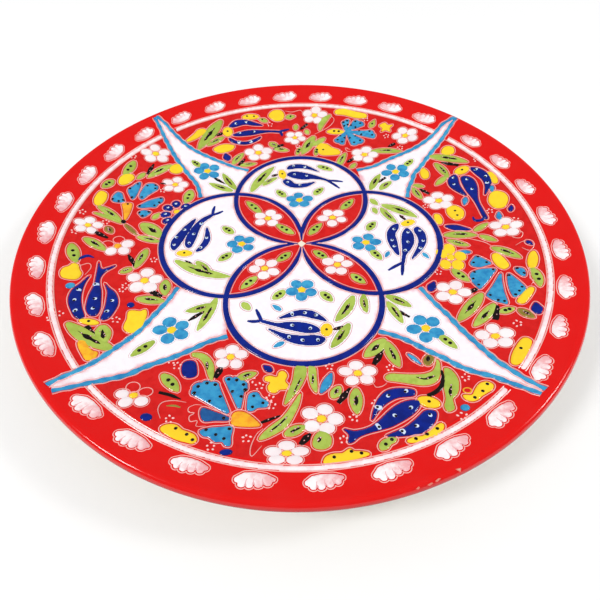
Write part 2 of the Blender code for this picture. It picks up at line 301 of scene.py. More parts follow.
def stroke(piece, glaze, path, wide=0.8, high=0.35, closed=False, lift=0.0, taper=(1, 1), sides=5):
    """A rounded ridge along a line. wide is a number or one width per point; taper scales an open
    stroke's width at its two ends."""
    path = np.asarray(path, float)
    count = len(path)
    widths = np.full(count, wide) if np.isscalar(wide) else np.asarray(wide, float)
    if not closed:
        widths = widths * tapering(count, *taper)
    across = normals_of(path, closed)
    full = widths.max()
    angles = np.linspace(0, math.pi, sides)
    section = [(math.cos(a), math.sin(a)) for a in angles] + [(-1, None), (1, None)]
    rows = []
    for side, up in section:
        spot = path + across * (0.5 * widths * side)[:, None]
        ground = face_z(*spot.T) + lift
        if up is None:
            rise = np.full(count, -SUNK)
        else:
            rise = high * up * (LOWEST + (1 - LOWEST) * widths / full)
        rows.append(np.column_stack([spot, ground + rise]))
    points = np.stack(rows, axis=1).reshape(-1, 3)
    wedge = len(section)
    faces = []
    for i in range(count if closed else count - 1):
        j = (i + 1) % count
        for k in range(wedge):
            n = (k + 1) % wedge
            faces.append((i * wedge + k, i * wedge + n, j * wedge + n, j * wedge + k))
    if not closed:
        faces.append(tuple(reversed(range(wedge))))
        faces.append(tuple((count - 1) * wedge + k for k in range(wedge)))
    edge = np.tile([0.5 * full * math.sin(a) for a in angles] + [0, 0], count)
    shade = np.repeat(np.linspace(0, 1, count), wedge)
    piece.add(points, faces, glaze, edge, shade)


# Materials -----------------------------------------------------------------------------------

def node(tree, kind, inputs=None, **settings):
    """A shader node with its settings, and its inputs linked to sockets or set to values."""
    made = tree.nodes.new(kind)
    for name, value in settings.items():
        setattr(made, name, value)
    for key, value in (inputs or {}).items():
        if isinstance(value, bpy.types.NodeSocket):
            tree.links.new(value, made.inputs[key])
        else:
            made.inputs[key].default_value = value
    return made


def mixed(tree, factor, first, second):
    """A colour between two colours or sockets."""
    made = node(tree, "ShaderNodeMix", {0: factor, 6: first, 7: second}, data_type="RGBA")
    return made.outputs[2]


def ranged(tree, value, low, high, to_low=0.0, to_high=1.0):
    """A value carried smoothly from one range to another."""
    made = node(tree, "ShaderNodeMapRange", {
        "Value": value, "From Min": low, "From Max": high, "To Min": to_low, "To Max": to_high},
        interpolation_type="SMOOTHSTEP")
    return made.outputs[0]


def noise(tree, scale, detail=3.0, roughness=0.55):
    """Noise fixed to the plate, scale in cycles per metre."""
    place = node(tree, "ShaderNodeTexCoord")
    made = node(tree, "ShaderNodeTexNoise", {
        "Vector": place.outputs["Object"], "Scale": scale, "Detail": detail,
        "Roughness": roughness})
    return made.outputs["Fac"]


def attribute(tree, name):
    """One of the numbers that a piece stores at its vertices."""
    made = node(tree, "ShaderNodeAttribute", attribute_name=name)
    return made.outputs["Fac"]


def maths(tree, operation, first, second):
    """A sum or product of two values or sockets."""
    made = node(tree, "ShaderNodeMath", {0: first, 1: second}, operation=operation)
    return made.outputs[0]


def glaze(name, body, pooled, thin, rough=0.12, mottle=0.35, far=None, thin_mm=0.5, tint=0.25,
          ragged=0.0):
    """A fired glaze: body colour in the middle, a pooled deeper tone in brushed patches, and a thin
    tone at the edge. far is the colour at the shaded end of a shaded pool."""
    made = bpy.data.materials.new(name)
    made.use_nodes = True
    tree = made.node_tree
    shader = tree.nodes["Principled BSDF"]
    brush = ranged(tree, noise(tree, 260, 4.0, 0.6), 0.38, 0.68)
    colour = mixed(tree, maths(tree, "MULTIPLY", brush, mottle), srgb(*body), srgb(*pooled))
    if far is not None:
        along = maths(tree, "ADD", attribute(tree, "shade"),
                      ranged(tree, noise(tree, 420), 0.2, 0.8, -0.3, 0.3))
        colour = mixed(tree, ranged(tree, along, 0.1, 1.0), colour, srgb(*far))
    if tint:
        lighter = maths(tree, "MULTIPLY", attribute(tree, "tint"), tint)
        colour = mixed(tree, lighter, colour, srgb(*pooled))
    reach = attribute(tree, "edge")
    if ragged:
        reach = maths(tree, "ADD", reach, ranged(tree, noise(tree, 150, 4.0), 0.3, 0.7, -ragged,
                                                 ragged))
    at_edge = ranged(tree, reach, 0.0, thin_mm, 1.0, 0.0)
    colour = mixed(tree, at_edge, colour, srgb(*thin))
    tree.links.new(colour, shader.inputs["Base Color"])
    smears = ranged(tree, noise(tree, 90, 5.0, 0.65), 0.3, 0.75, rough * 0.7, rough * 1.6)
    tree.links.new(smears, shader.inputs["Roughness"])
    shader.inputs["IOR"].default_value = GLAZE_IOR
    ripple = noise(tree, 75, 2.0, 0.4)
    grain = noise(tree, 900, 2.0, 0.5)
    height = maths(tree, "ADD", maths(tree, "MULTIPLY", ripple, RIPPLE_MM),
                   maths(tree, "MULTIPLY", grain, GRAIN_MM))
    bump = node(tree, "ShaderNodeBump", {"Height": height, "Strength": 0.5, "Distance": MM})
    tree.links.new(bump.outputs[0], shader.inputs["Normal"])
    return made


RED = glaze("red_glaze", (213, 28, 26), (194, 14, 14), (222, 44, 40), mottle=0.6, tint=0,
            thin_mm=0.4)
WHITE = glaze("white_enamel", (244, 240, 241), (240, 218, 222), (176, 72, 74), thin_mm=0.34,
              tint=0.5, mottle=0.5)
EYE = glaze("eye_enamel", (222, 234, 248), (176, 202, 236), (120, 150, 214), thin_mm=0.25,
            tint=0.4, mottle=0.5)
CLOUD = glaze("cloud_enamel", (250, 246, 247), (246, 226, 229), (222, 130, 134),
              far=(238, 168, 172), thin_mm=0.4, tint=0.2, mottle=0.6)
YELLOW = glaze("yellow_enamel", (247, 217, 44), (244, 190, 34), (214, 128, 36), thin_mm=0.5,
               tint=0.35)
GREEN = glaze("green_enamel", (180, 202, 92), (146, 168, 60), (206, 172, 88), thin_mm=0.6,
              tint=0.5, mottle=0.6)
BLACK = glaze("black_enamel", (14, 10, 12), (36, 18, 14), (50, 20, 18), thin_mm=0.2)
COBALT = glaze("cobalt_enamel", (6, 36, 140), (4, 20, 100), (10, 16, 84), thin_mm=0.45, tint=0.3,
               mottle=0.6)
TURQUOISE = glaze("turquoise_enamel", (64, 164, 208), (28, 116, 176), (30, 90, 140),
                  thin_mm=0.4, tint=0.3, mottle=0.75)
PALE_LINE = glaze("pale_slip_line", (246, 184, 178), (240, 158, 154), (224, 96, 92), thin_mm=0.12)
ROSE_LINE = glaze("rose_slip_line", (208, 88, 100), (188, 62, 78), (226, 140, 150), thin_mm=0.1)
GROUND = glaze("white_ground", (245, 242, 246), (240, 226, 233), (236, 178, 190), thin_mm=3.2,
               tint=0, mottle=0.35, ragged=1.2)
RING = glaze("ring_ground", (250, 240, 241), (244, 212, 216), (236, 176, 180), thin_mm=0.9,
             tint=0, mottle=0.8)
PALE_DOT = glaze("pale_dot", (252, 214, 212), (250, 196, 194), (244, 150, 148), thin_mm=0.2)
CLOUD_PINK = glaze("cloud_shadow", (238, 176, 180), (230, 150, 156), (244, 208, 210), thin_mm=0.5)
ORANGE = glaze("orange_enamel", (246, 190, 40), (236, 140, 40), (214, 110, 34), thin_mm=0.5,
               mottle=0.8)
STORMY = glaze("worn_turquoise", (36, 96, 158), (24, 66, 126), (24, 60, 110), thin_mm=0.5,
               mottle=0.9)
OLIVE = glaze("olive_enamel", (142, 128, 52), (110, 84, 36), (190, 170, 90), thin_mm=0.7)
# Pale spots of the lip: painted highlight over small chips in the enamel.
GLINT_AND_CHIP_ENAMEL = glaze("glint_and_chip_enamel", (236, 196, 180), (214, 140, 120), (222, 120, 100), rough=0.45,
                thin_mm=0.5, mottle=0.9, tint=0)


def plain(name, colour, rough, bump=0.0, scale=300):
    """A matt finish with faint mottling."""
    made = bpy.data.materials.new(name)
    made.use_nodes = True
    tree = made.node_tree
    shader = tree.nodes["Principled BSDF"]
    patch = ranged(tree, noise(tree, scale, 4.0), 0.3, 0.7)
    dark = tuple(0.86 * c for c in colour)
    tree.links.new(mixed(tree, patch, srgb(*colour), srgb(*dark)), shader.inputs["Base Color"])
    tree.links.new(ranged(tree, noise(tree, scale * 2, 3.0), 0.3, 0.7, rough * 0.85, rough * 1.1),
                   shader.inputs["Roughness"])
    if bump:
        grain = node(tree, "ShaderNodeBump", {"Height": noise(tree, scale * 5, 3.0),
                                              "Strength": bump, "Distance": 0.0003})
        tree.links.new(grain.outputs[0], shader.inputs["Normal"])
    return made


BODY = glaze("clear_glazed_clay", (238, 228, 208), (226, 208, 180), (238, 228, 208), rough=0.2,
             mottle=0.5, tint=0)
BARE = plain("bare_clay", (205, 172, 140), 0.85, 0.6, 250)


def paint_lip_shade(material):
    """Painted shade on the rim's red: darker red where the surface turns to face sideways over the lip,
    dark brown where it faces down, and less reflection on the side.
    """
    tree = material.node_tree
    shader = tree.nodes["Principled BSDF"]
    colour = shader.inputs["Base Color"].links[0].from_socket
    place = node(tree, "ShaderNodeNewGeometry")
    upward = node(tree, "ShaderNodeSeparateXYZ", {0: place.outputs["Normal"]}).outputs[2]
    # Painted shade: darker red where the lip faces sideways, dark brown where it faces down.
    side = ranged(tree, upward, -0.1, 0.75, 1.0, 0.0)
    dark = mixed(tree, side, colour, srgb(176, 6, 4))
    under = ranged(tree, upward, -0.5, -0.2, 1.0, 0.0)
    tree.links.new(mixed(tree, under, dark, srgb(120, 40, 22)), shader.inputs["Base Color"])
    tree.links.new(ranged(tree, side, 0, 1, 0.5, 0.12), shader.inputs["Specular IOR Level"])


RIM = glaze("rim_red_glaze", (222, 16, 14), (202, 8, 8), (222, 16, 14), mottle=0.5, tint=0)
# Painted shade on the lip of the rim's red glaze.
paint_lip_shade(RIM)
FLOOR = bpy.data.materials.new("paper_floor")
FLOOR.use_nodes = True
FLOOR.node_tree.nodes["Principled BSDF"].inputs["Base Color"].default_value = (0.9, 0.9, 0.9, 1)
FLOOR.node_tree.nodes["Principled BSDF"].inputs["Roughness"].default_value = 0.9


# Motifs --------------------------------------------------------------------------------------

LINE = 0.5
LINE_GAP = 0.42
SWELL = 0.2
ROSE_SWELL = 0.45
ROSE_WIDER = 1.5
ROSE_NEARER = 0.7
SPRAY_R = 1.7
PETALS = 5


def outlined(piece, glaze_, shape, line=PALE_LINE, wide=LINE, gap=LINE_GAP, swell=None,
             **pool_settings):
    """A pool with a thin raised line round it, a gap away. The pool spreads past its drawn
    shape by swell, and a rose line is wider and closer than a pale one."""
    if area(shape) < 0:
        shape = shape[::-1]
    if line is ROSE_LINE:
        wide *= ROSE_WIDER
        gap *= ROSE_NEARER
    if swell is None:
        swell = ROSE_SWELL if line is ROSE_LINE else SWELL
    shape = shape - normals_of(shape, True) * swell
    pool(piece, glaze_, shape, **pool_settings)
    stroke(piece, line, shape - normals_of(shape, True) * gap, wide, 0.3, closed=True)


def scalloped(posts, bulge=0.35):
    """Points of a line that swells to its right between posts."""
    points = []
    posts = np.array(posts, float)
    for a, b in zip(posts, posts[1:]):
        chord = b - a
        out = np.array([chord[1], -chord[0]]) * bulge
        for t in np.linspace(0, 1, 7, endpoint=False):
            points.append(a + chord * 0.5 * (1 - math.cos(math.pi * t)) + out * math.sin(math.pi * t))
    points.append(posts[-1])
    return np.array(points)


DOT_RINGS = ((1.0, 0.0), (0.86, 0.45), (0.55, 0.85))
DOT_SIDES = 10


def dot(piece, glaze_, x, y, size=0.9, lift=0.4, long=1.0, turn=0.0, high=0.45):
    """A small dome of enamel."""
    angles = np.linspace(0, math.tau, DOT_SIDES, endpoint=False)
    circle = np.column_stack([long * np.cos(angles), np.sin(angles)]) * size
    rows = []
    for reach, rise in DOT_RINGS:
        spot = placed(circle * reach, x, y, turn)
        rows.append(np.column_stack([spot, face_z(*spot.T) + lift + high * rise]))
    base = rows[0] - np.array([0, 0, SUNK])
    top = np.array([[x, y, face_z(x, y) + lift + high]])
    faces = []
    for row in range(len(DOT_RINGS) - 1):
        for i in range(DOT_SIDES):
            j = (i + 1) % DOT_SIDES
            low, up = row * DOT_SIDES, (row + 1) * DOT_SIDES
            faces.append((low + i, low + j, up + j, up + i))
    last = (len(DOT_RINGS) - 1) * DOT_SIDES
    under = len(DOT_RINGS) * DOT_SIDES
    peak = under + DOT_SIDES
    for i in range(DOT_SIDES):
        j = (i + 1) % DOT_SIDES
        faces.append((last + i, last + j, peak))
        faces.append((under + i, under + j, j, i))
    faces.append(tuple(under + i for i in reversed(range(DOT_SIDES))))
    edge = np.concatenate([np.repeat([0, 0.14 * size, 0.45 * size], DOT_SIDES),
                           np.zeros(DOT_SIDES), [size]])
    piece.add(np.vstack(rows + [base, top]), faces, glaze_, edge, np.zeros(len(edge)))


def daisy(piece, x, y, size=8.5, turn=90.0, flat=0.88, petal=None, heart=None,
          line=PALE_LINE, bare=()):
    """Round petals about a yellow heart, its height flat times its width. Petals whose numbers
    are in bare have a line and no enamel."""
    for i in range(PETALS):
        angle = turn + 360 * i / PETALS + RANDOM.uniform(-6, 6)
        long = size * RANDOM.uniform(0.34, 0.40)
        wide = size * RANDOM.uniform(0.33, 0.385)
        reach = size * RANDOM.uniform(0.58, 0.63)
        shape = oval(reach * math.cos(math.radians(angle)), reach * math.sin(math.radians(angle)),
                     long, wide, angle)
        shape = shape * np.array([1, flat]) + np.array([x, y])
        if i in bare:
            stroke(piece, line, shape, 0.5, 0.3, closed=True)
        else:
            outlined(piece, petal or WHITE, shape, line, 0.42, 0.35, high=0.6, soft=1.5)
    centre = oval(0, 0, size * 0.24, size * 0.23, turn) * np.array([1, flat]) + np.array([x, y])
    outlined(piece, heart or YELLOW, centre, line, 0.42, 0.25, high=0.75, soft=1.2)


def leaf(piece, base, tip, wide=5.0, bend=0.0, mark="stroke", line=PALE_LINE, body=None):
    """A pointed leaf from base to tip, bowed to its left by bend, with dark marks on it."""
    base, tip = np.array(base, float), np.array(tip, float)
    ahead = tip - base
    left = np.array([-ahead[1], ahead[0]]) / max(np.hypot(*ahead), 1e-6)
    middle = 0.5 * (base + tip) + left * bend
    t = np.linspace(0, 1, 9)[:, None]
    spine = (1 - t) ** 2 * base + 2 * t * (1 - t) * middle + t ** 2 * tip
    side = normals_of(spine, False)
    half = 0.57 * wide * np.sin(math.pi * t ** 0.85) ** 0.62
    half[0] = 0.16 * wide
    shape = np.vstack([(spine + side * half)[:-1], tip[None], (spine - side * half)[:-1][::-1]])
    outlined(piece, body or GREEN, curve(shape), line, high=0.6, soft=1.4)
    if mark == "stroke":
        part = curve(spine[2:7], False, 0.5)
        bold = max(1.4, 0.47 * wide)
        ragged = bold * (0.85 + 0.2 * np.sin(np.arange(len(part)) * 0.5 + tip[0]))
        stroke(piece, BLACK, part, ragged, 0.3, lift=0.42, taper=(0.3, 0.3))
        # The white dots on the dark stroke are painted highlights on the glossy black.
        for share in (0.2, 0.5, 0.8):
            spot = part[int(share * (len(part) - 1))] + left * bold * RANDOM.uniform(-0.4, 0.4)
            dot(piece, WHITE, spot[0], spot[1], 0.36, 0.62, 1.3, RANDOM.uniform(0, 180), 0.3)
    elif mark == "dots":
        for share in (3, 5):
            dot(piece, BLACK, spine[share][0], spine[share][1], 1.1, 0.4)


def frond(piece, points, mark=None, bold=1.7):
    """A leaf of free outline, with a dark mark drawn through the places in mark."""
    outlined(piece, GREEN, curve(points), high=0.6, soft=1.4)
    if mark:
        path = curve(mark, False, 0.5)
        ragged = bold * (0.9 + 0.2 * np.sin(np.arange(len(path)) * 0.5 + mark[0][0]))
        stroke(piece, BLACK, path, ragged, 0.3, lift=0.42, taper=(0.4, 0.4))
        # The white dots on the dark mark are painted highlights on the glossy black.
        for share in (0.15, 0.5, 0.85):
            spot = path[int(share * (len(path) - 1))] + RANDOM.uniform(-0.5, 0.5, 2)
            dot(piece, WHITE, spot[0], spot[1], 0.38, 0.62, 1.3, RANDOM.uniform(0, 180), 0.3)


def stem(piece, start, end, wide=2.5, bend=0.0):
    """A black brush stroke, thin at start and full at end."""
    start, end = np.array(start, float), np.array(end, float)
    ahead = end - start
    left = np.array([-ahead[1], ahead[0]]) / max(np.hypot(*ahead), 1e-6)
    path = curve([start, 0.5 * (start + end) + left * bend, end], False, 0.5)
    ragged = wide * (1.15 + 0.12 * np.sin(np.arange(len(path)) * 0.45 + end[0]))
    stroke(piece, BLACK, path, ragged, 0.45, taper=(0.45, 0.8))
    # The white dots on the stroke are painted highlights on the glossy black.
    for share in (0.35, 0.7):
        spot = path[int(share * (len(path) - 1))]
        dot(piece, WHITE, spot[0] + 0.3, spot[1] + 0.2, 0.3, 0.42, 1.4, 40, 0.2)


def vine(piece, points):
    """A thin raised line."""
    stroke(piece, PALE_LINE, curve(points, False, 0.6), LINE, 0.38, taper=(0.5, 0.5))


def blot(piece, points, glaze_=YELLOW, dots=()):
    """A free blot of enamel with dark dots on it."""
    outlined(piece, glaze_, curve(points), high=0.65, soft=1.6)
    for x, y in dots:
        dot(piece, BLACK, x, y, 0.85, 0.45)


def bud(piece, x, y, long=4.5, wide=3.4, turn=90.0, glaze_=COBALT, line=PALE_LINE):
    """A drop-shaped bud with its point along turn."""
    shape = placed([(-0.5, -0.28), (-0.62, 0), (-0.5, 0.28), (-0.1, 0.5), (0.3, 0.3), (0.6, 0),
                    (0.3, -0.3), (-0.1, -0.5)], x, y, turn, long)
    centre = np.array([x, y])
    axis = np.array([math.cos(math.radians(turn)), math.sin(math.radians(turn))])
    off = shape - centre
    along = off @ axis
    shape = centre + np.outer(along, axis) + (off - np.outer(along, axis)) * (wide / long)
    outlined(piece, glaze_, curve(shape, step=0.6), line, high=0.55, soft=1.2, step=0.6)


def spray(piece, x, y):
    """Five tiny pale dots about a place."""
    for turn in (20.0, 92.0, 164.0, 236.0, 308.0):
        angle = math.radians(turn)
        reach = SPRAY_R * RANDOM.uniform(0.7, 1.15)
        dot(piece, PALE_DOT, x + reach * math.cos(angle), y + reach * math.sin(angle), 0.5, 0.05,
            RANDOM.uniform(1, 1.5), RANDOM.uniform(0, 180), 0.4)


def eye(piece, x, y, size=1.45, turn=0.0):
    """A pale drop with a black pupil."""
    dot(piece, EYE, x, y, size, 0.5, 1.2, turn, 0.35)
    pupil_x = x + 0.3 * size * math.cos(math.radians(turn))
    pupil_y = y + 0.3 * size * math.sin(math.radians(turn))
    dot(piece, BLACK, pupil_x, pupil_y, 0.5 * size, 0.7, high=0.3)


# Plate ---------------------------------------------------------------------------------------

def lathe(name, profile, materials, slot_of, segments=360, closed=False):
    """A turned solid from (r, z) points in mm. slot_of gives the material for a profile step."""
    profile = np.asarray(profile, float)
    angles = np.linspace(0, math.tau, segments, endpoint=False)
    points = []
    rings = []
    for r, z in profile:
        start = len(points)
        if r < 1e-6:
            points.append((0, 0, z))
            rings.append([start] * segments)
        else:
            points.extend(zip(r * np.cos(angles), r * np.sin(angles), [z] * segments))
            rings.append(list(range(start, start + segments)))
    faces, slots = [], []
    steps = len(profile) if closed else len(profile) - 1
    for step in range(steps):
        inner, outer = rings[step], rings[(step + 1) % len(profile)]
        for i in range(segments):
            j = (i + 1) % segments
            face = [inner[i], outer[i], outer[j], inner[j]]
            face = list(dict.fromkeys(face))
            faces.append(face)
            slots.append(slot_of(step))
    mesh = bpy.data.meshes.new(name)
    mesh.from_pydata([tuple(MM * v for v in p) for p in points], [], faces)
    for material in materials:
        mesh.materials.append(material)
    mesh.polygons.foreach_set("material_index", slots)
    mesh.shade_smooth()
    mesh.set_sharp_from_angle(angle=SHARP)
    made = bpy.data.objects.new(name, mesh)
    bpy.context.scene.collection.objects.link(made)
    return made


def lip_points(start, end, grow, count=24):
    """Points round the lip between two angles, 90 degrees being the top."""
    middle_r = PLATE_R - LIP_WIDTH
    middle_z = face_z(middle_r, 0) - LIP_HALF
    found = []
    for angle in np.linspace(start, end, count):
        found.append((middle_r + (LIP_WIDTH + grow) * math.cos(angle),
                      middle_z + (LIP_HALF + grow) * math.sin(angle)))
    return found


# The foot ring's section from outside to inside, and its first and last bare steps
FOOT = [(101, 6.9), (97.5, 5.4), (95.6, 3.0), (95, 1.2), (94.65, 0.35), (93.8, 0.02),
        (91.5, 0), (89.2, 0.02), (88.35, 0.35), (88, 1.2), (87.8, 3.6), (86.8, 5.1),
        (84.5, RECESS_Z)]
FOOT_BARE_FROM = 3
FOOT_BARE_TO = 9


def make_body():
    """The clay body: glazed, but for the bare ground sole of the foot ring."""
    face = [(r, face_z(r, 0) - 0.12) for r in np.linspace(0, 146, 74)]
    lip = lip_points(math.pi / 2, -math.pi / 2, -0.12)
    back = [(r, face_z(r, 0) - WALL) for r in np.linspace(140, 112, 15)]
    recess = [(r, RECESS_Z + 0.1 * math.sin(r / 5)) for r in np.linspace(82, 0, 30)]
    profile = face + lip + back + FOOT + recess
    foot_from = len(face + lip + back)
    bare_from = foot_from + FOOT_BARE_FROM
    bare_to = foot_from + FOOT_BARE_TO
    body = lathe("clay_body_glazed", profile, [BODY, BARE],
                 lambda step: 1 if bare_from <= step <= bare_to else 0)
    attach(body, "plate")
    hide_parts("clay_body")


def make_rim():
    """The red coat of the rim, over the lip and a little way under it."""
    top = [(r, face_z(r, 0) + 0.16) for r in np.linspace(RING_IN_R, 146.4, 14)]
    lip = lip_points(math.pi / 2, COAT_END, 0.16, 20)
    inner_lip = lip_points(COAT_END + 0.06, math.pi / 2, -0.5, 14)
    inner = [(r, face_z(r, 0) - 0.5) for r in np.linspace(146, RING_IN_R, 14)]
    rim = lathe("rim_red_glaze", top + lip + inner_lip + inner, [RIM], lambda step: 0, 720, True)
    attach(rim, "plate")
    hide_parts("rim_band")


# Pale spots on the near lip: painted highlights, drawn as small knocks in the enamel.
GLINTS_AND_CHIPS = [[(56.3, -136.9), (58.4, -136.5), (57.7, -138.2)],
         [(47.9, -141.2), (49.4, -140.1), (50.2, -140.3), (48.6, -141.5)],
         [(44.9, -142.5), (46.6, -141.6), (47, -142), (45.5, -142.9)],
         [(40.6, -143.8), (41.6, -143), (42.1, -143.4), (41.3, -144.1)]]


def make_glints_and_chips():
    """Small pale spots near the lip: painted highlights where light glints off the lip, made as knocks in
    the enamel down to the pale body.
    """
    chips = Piece("rim_glints_and_chips")
    for outline in GLINTS_AND_CHIPS:
        pool(chips, GLINT_AND_CHIP_ENAMEL, resampled(outline, 0.4, True), 0.1, 0.3, lift=0.17, step=0.4)
    chips.build(slot="clay")


def make_wire():
    """Drawn steel: bright, with duller patches and fine drawing lines."""
    made = bpy.data.materials.new("drawn_steel")
    made.use_nodes = True
    tree = made.node_tree
    shader = tree.nodes["Principled BSDF"]
    dull = ranged(tree, noise(tree, 220, 5.0), 0.35, 0.7)
    tree.links.new(mixed(tree, dull, srgb(196, 196, 194), srgb(128, 122, 114)),
                   shader.inputs["Base Color"])
    tree.links.new(ranged(tree, noise(tree, 420, 4.0), 0.3, 0.7, 0.22, 0.5),
                   shader.inputs["Roughness"])
    shader.inputs["Metallic"].default_value = 1.0
    lines = node(tree, "ShaderNodeBump", {"Height": noise(tree, 2600, 2.0), "Strength": 0.35,
                                          "Distance": 0.00008})
    tree.links.new(lines.outputs[0], shader.inputs["Normal"])
    wire = bpy.data.objects["hanging_wire"]
    wire.data.materials.clear()
    wire.data.materials.append(made)


CIRCLES = {
    "north": (1.4, 38.5, 40.7, 40.5),
    "east": (41.2, 1.3, 39.7, 41.4),
    "south": (2.0, -42.4, 40.7, 40.35),
    "west": (-38.8, 0.8, 40.3, 41.6),
}
NEIGHBOURS = {"north": ("east", "west"), "west": ("north", "south"),
              "south": ("west", "east"), "east": ("south", "north")}
MEETING = np.array([1.5, -2.0])
CLEAR_OF_MEETING = 2.2
FIELD_OUT_R = 132
FIELD_IN_R = 30
FIELD_HALF_ANGLE = math.radians(46.0)
FIELD_SHIFT = math.radians(1.0)
BESIDE_W = 0.6


def fine_ellipse(cx, cy, a, b):
    """A circle line of the medallion, as 280 places."""
    angles = np.linspace(0, math.tau, 280, endpoint=False)
    return np.column_stack([cx + a * np.cos(angles), cy + b * np.sin(angles)])


def longest_run(points, keep):
    """The one run of kept points, in order, on a closed line."""
    count = len(points)
    starts = [i for i in range(count) if keep[i] and not keep[i - 1]]
    best = []
    for start in starts:
        run = []
        i = start
        while keep[i % count] and len(run) < count:
            run.append(i % count)
            i += 1
        if len(run) > len(best):
            best = run
    return points[best]


def arc_inside(side, other):
    """The part of one circle's line that lies inside another, clear of the meeting point."""
    line = fine_ellipse(*CIRCLES[side])
    keep = inside(line, fine_ellipse(*CIRCLES[other]))
    keep &= np.hypot(*(line - MEETING).T) > CLEAR_OF_MEETING
    return longest_run(line, keep)


def lens(first, second):
    """The shape shared by two neighbouring circles."""
    return resampled(np.vstack([arc_inside(first, second), arc_inside(second, first)]), 1.0, True)


def ground(side):
    """A circle without the two lenses."""
    right, left = NEIGHBOURS[side]
    line = fine_ellipse(*CIRCLES[side])
    out = ~inside(line, fine_ellipse(*CIRCLES[right])) & ~inside(line, fine_ellipse(*CIRCLES[left]))
    outer = longest_run(line, out)
    back = arc_inside(left, side)[::-1]
    home = arc_inside(right, side)[::-1]
    return resampled(np.vstack([outer, back, home]), 1.0, True)


# Each spike's inner corner and its two edges, from the circles to the rim
SPIKE_EDGES = {
    "northeast": ((42, 42),
                  [(39, 64.5), (50, 67.5), (60, 73), (70, 77.5), (80, 82), (90, 88.5), (96, 94),
                   (100, 98), (107.5, 101)],
                  [(68, 36), (70, 44), (73.5, 52), (75.5, 57.5), (80, 63), (85, 70), (90, 76.5),
                   (95, 82.5), (100, 89), (105, 96), (108.5, 100)]),
    "northwest": ((-39, 42),
                  [(-61.5, 39), (-64, 48), (-67, 54), (-71.5, 60), (-78.5, 70), (-84.5, 80),
                   (-90, 90), (-95, 100), (-99, 107)],
                  [(-33, 66), (-42, 69), (-50, 73), (-62, 79), (-70, 83.5), (-75, 87), (-80, 91.5),
                   (-87, 98.5), (-92, 104), (-98, 108.5)]),
    "southwest": ((-38, -40),
                  [(-36, -65.5), (-45, -69), (-52, -73.5), (-60, -78.5), (-66, -81.5), (-72, -85),
                   (-78, -89.5), (-85, -92.5), (-92, -95.5), (-98, -98.5), (-104, -101.5)],
                  [(-64, -35), (-67, -43), (-70, -49), (-74, -57), (-78, -65), (-82, -71),
                   (-87, -77.5), (-92, -84.5), (-98, -91), (-103, -96), (-106, -100)]),
    "southeast": ((42.5, -40),
                  [(63.5, -37), (67, -44), (70, -50), (74, -57), (77, -64), (80.5, -71),
                   (84.5, -79), (88, -86), (92, -92), (96, -98), (101, -104.5)],
                  [(38.5, -64.5), (45, -67), (52, -71), (60, -77.5), (66, -82), (72, -87.5),
                   (78, -91.5), (84, -94.5), (89, -98.5), (94, -102.5), (98.5, -106.5)]),
}


def make_fields():
    """The four red fields between the medallion and the rim."""
    for number, side in enumerate(SIDES):
        middle = math.radians(90 * number)
        angles = np.linspace(middle - FIELD_HALF_ANGLE, middle + FIELD_HALF_ANGLE, 90)
        if side in ("north", "west"):
            angles += FIELD_SHIFT
        back = angles[::-3]
        outer = np.column_stack([FIELD_OUT_R * np.cos(angles), FIELD_OUT_R * np.sin(angles)])
        inner = np.column_stack([FIELD_IN_R * np.cos(back), FIELD_IN_R * np.sin(back)])
        piece = Piece("field_glaze_" + side)
        pool(piece, RED, resampled(np.vstack([outer, inner]), 2.0, True), 0.12, 0.5, step=2.0)
        piece.build("red_field_" + side, slot="red_glaze")


def make_medallion():
    """Four grounds, four lenses and the lattice of circle lines over them."""
    for side in SIDES:
        piece = Piece("medallion_ground_" + side)
        pool(piece, GROUND, ground(side), 0.28, 0.8, step=1.1)
        piece.build("white_ground_" + side, slot="white_glaze")
    lenses = {"northeast": ("north", "east"), "northwest": ("west", "north"),
              "southwest": ("south", "west"), "southeast": ("east", "south")}
    for name, pair in lenses.items():
        piece = Piece("lens_glaze_" + name)
        pool(piece, RED, lens(*pair), 0.26, 0.8, step=1.1)
        piece.build("red_lens_" + name, slot="red_glaze")
    lattice = Piece("medallion_lattice_lines")
    for side in SIDES:
        line = resampled(fine_ellipse(*CIRCLES[side]), 0.8, True)
        far = np.hypot(*(line - MEETING).T)
        wobble = 0.16 * np.sin(np.arange(len(line)) * 0.11 + len(side))
        wide = LINE_W * np.clip(0.22 + 0.78 * (far - 2.5) / 11, 0.22, 1) + wobble
        keep = longest_run(np.arange(len(line)), far > CLEAR_OF_MEETING)
        stroke(lattice, COBALT, line[keep], wide[keep], 0.85, taper=(0.8, 0.8), sides=9)
        for shift in (-0.5, 0.5):
            beside = line + normals_of(line, True) * (shift * (wide + 0.55))[:, None]
            stroke(lattice, PALE_LINE, beside[keep], BESIDE_W, 0.42)
    lattice.build("medallion_lattice", slot="cobalt_glaze")


def make_spikes():
    """Four white spikes with turquoise edges."""
    for name, (corner, first, second) in SPIKE_EDGES.items():
        one, two = curve(first, False), curve(second, False)
        if name == "southwest":
            one = one + normals_of(one, False) * 0.8
            two = two - normals_of(two, False) * 0.8
        shape = np.vstack([[corner], one, two[::-1]])
        piece = Piece("spike_ground_" + name)
        pool(piece, GROUND, resampled(shape, 1.0, True), 0.3, 0.8, step=1.1)
        piece.build("white_spike_" + name, slot="white_glaze")
        edge = Piece("spike_edge_" + name)
        for line in (one, two):
            wave = 2.8 + 0.45 * np.sin(np.arange(len(line)) * 0.75)
            stroke(edge, TURQUOISE, line, wave, 0.75, taper=(0.85, 0.8), sides=9)
            for shift in (-0.5, 0.5):
                beside = line + normals_of(line, False) * (shift * (wave + 0.5))[:, None]
                stroke(edge, PALE_LINE, beside, BESIDE_W, 0.4)
        edge.build("blue_edge_" + name, slot="turquoise_glaze")


RING_SPANS = {"east": (-43.6, 40.7), "north": (44.9, 129.9), "west": (134.6, 221.6),
              "south": (226.2, 311.0)}


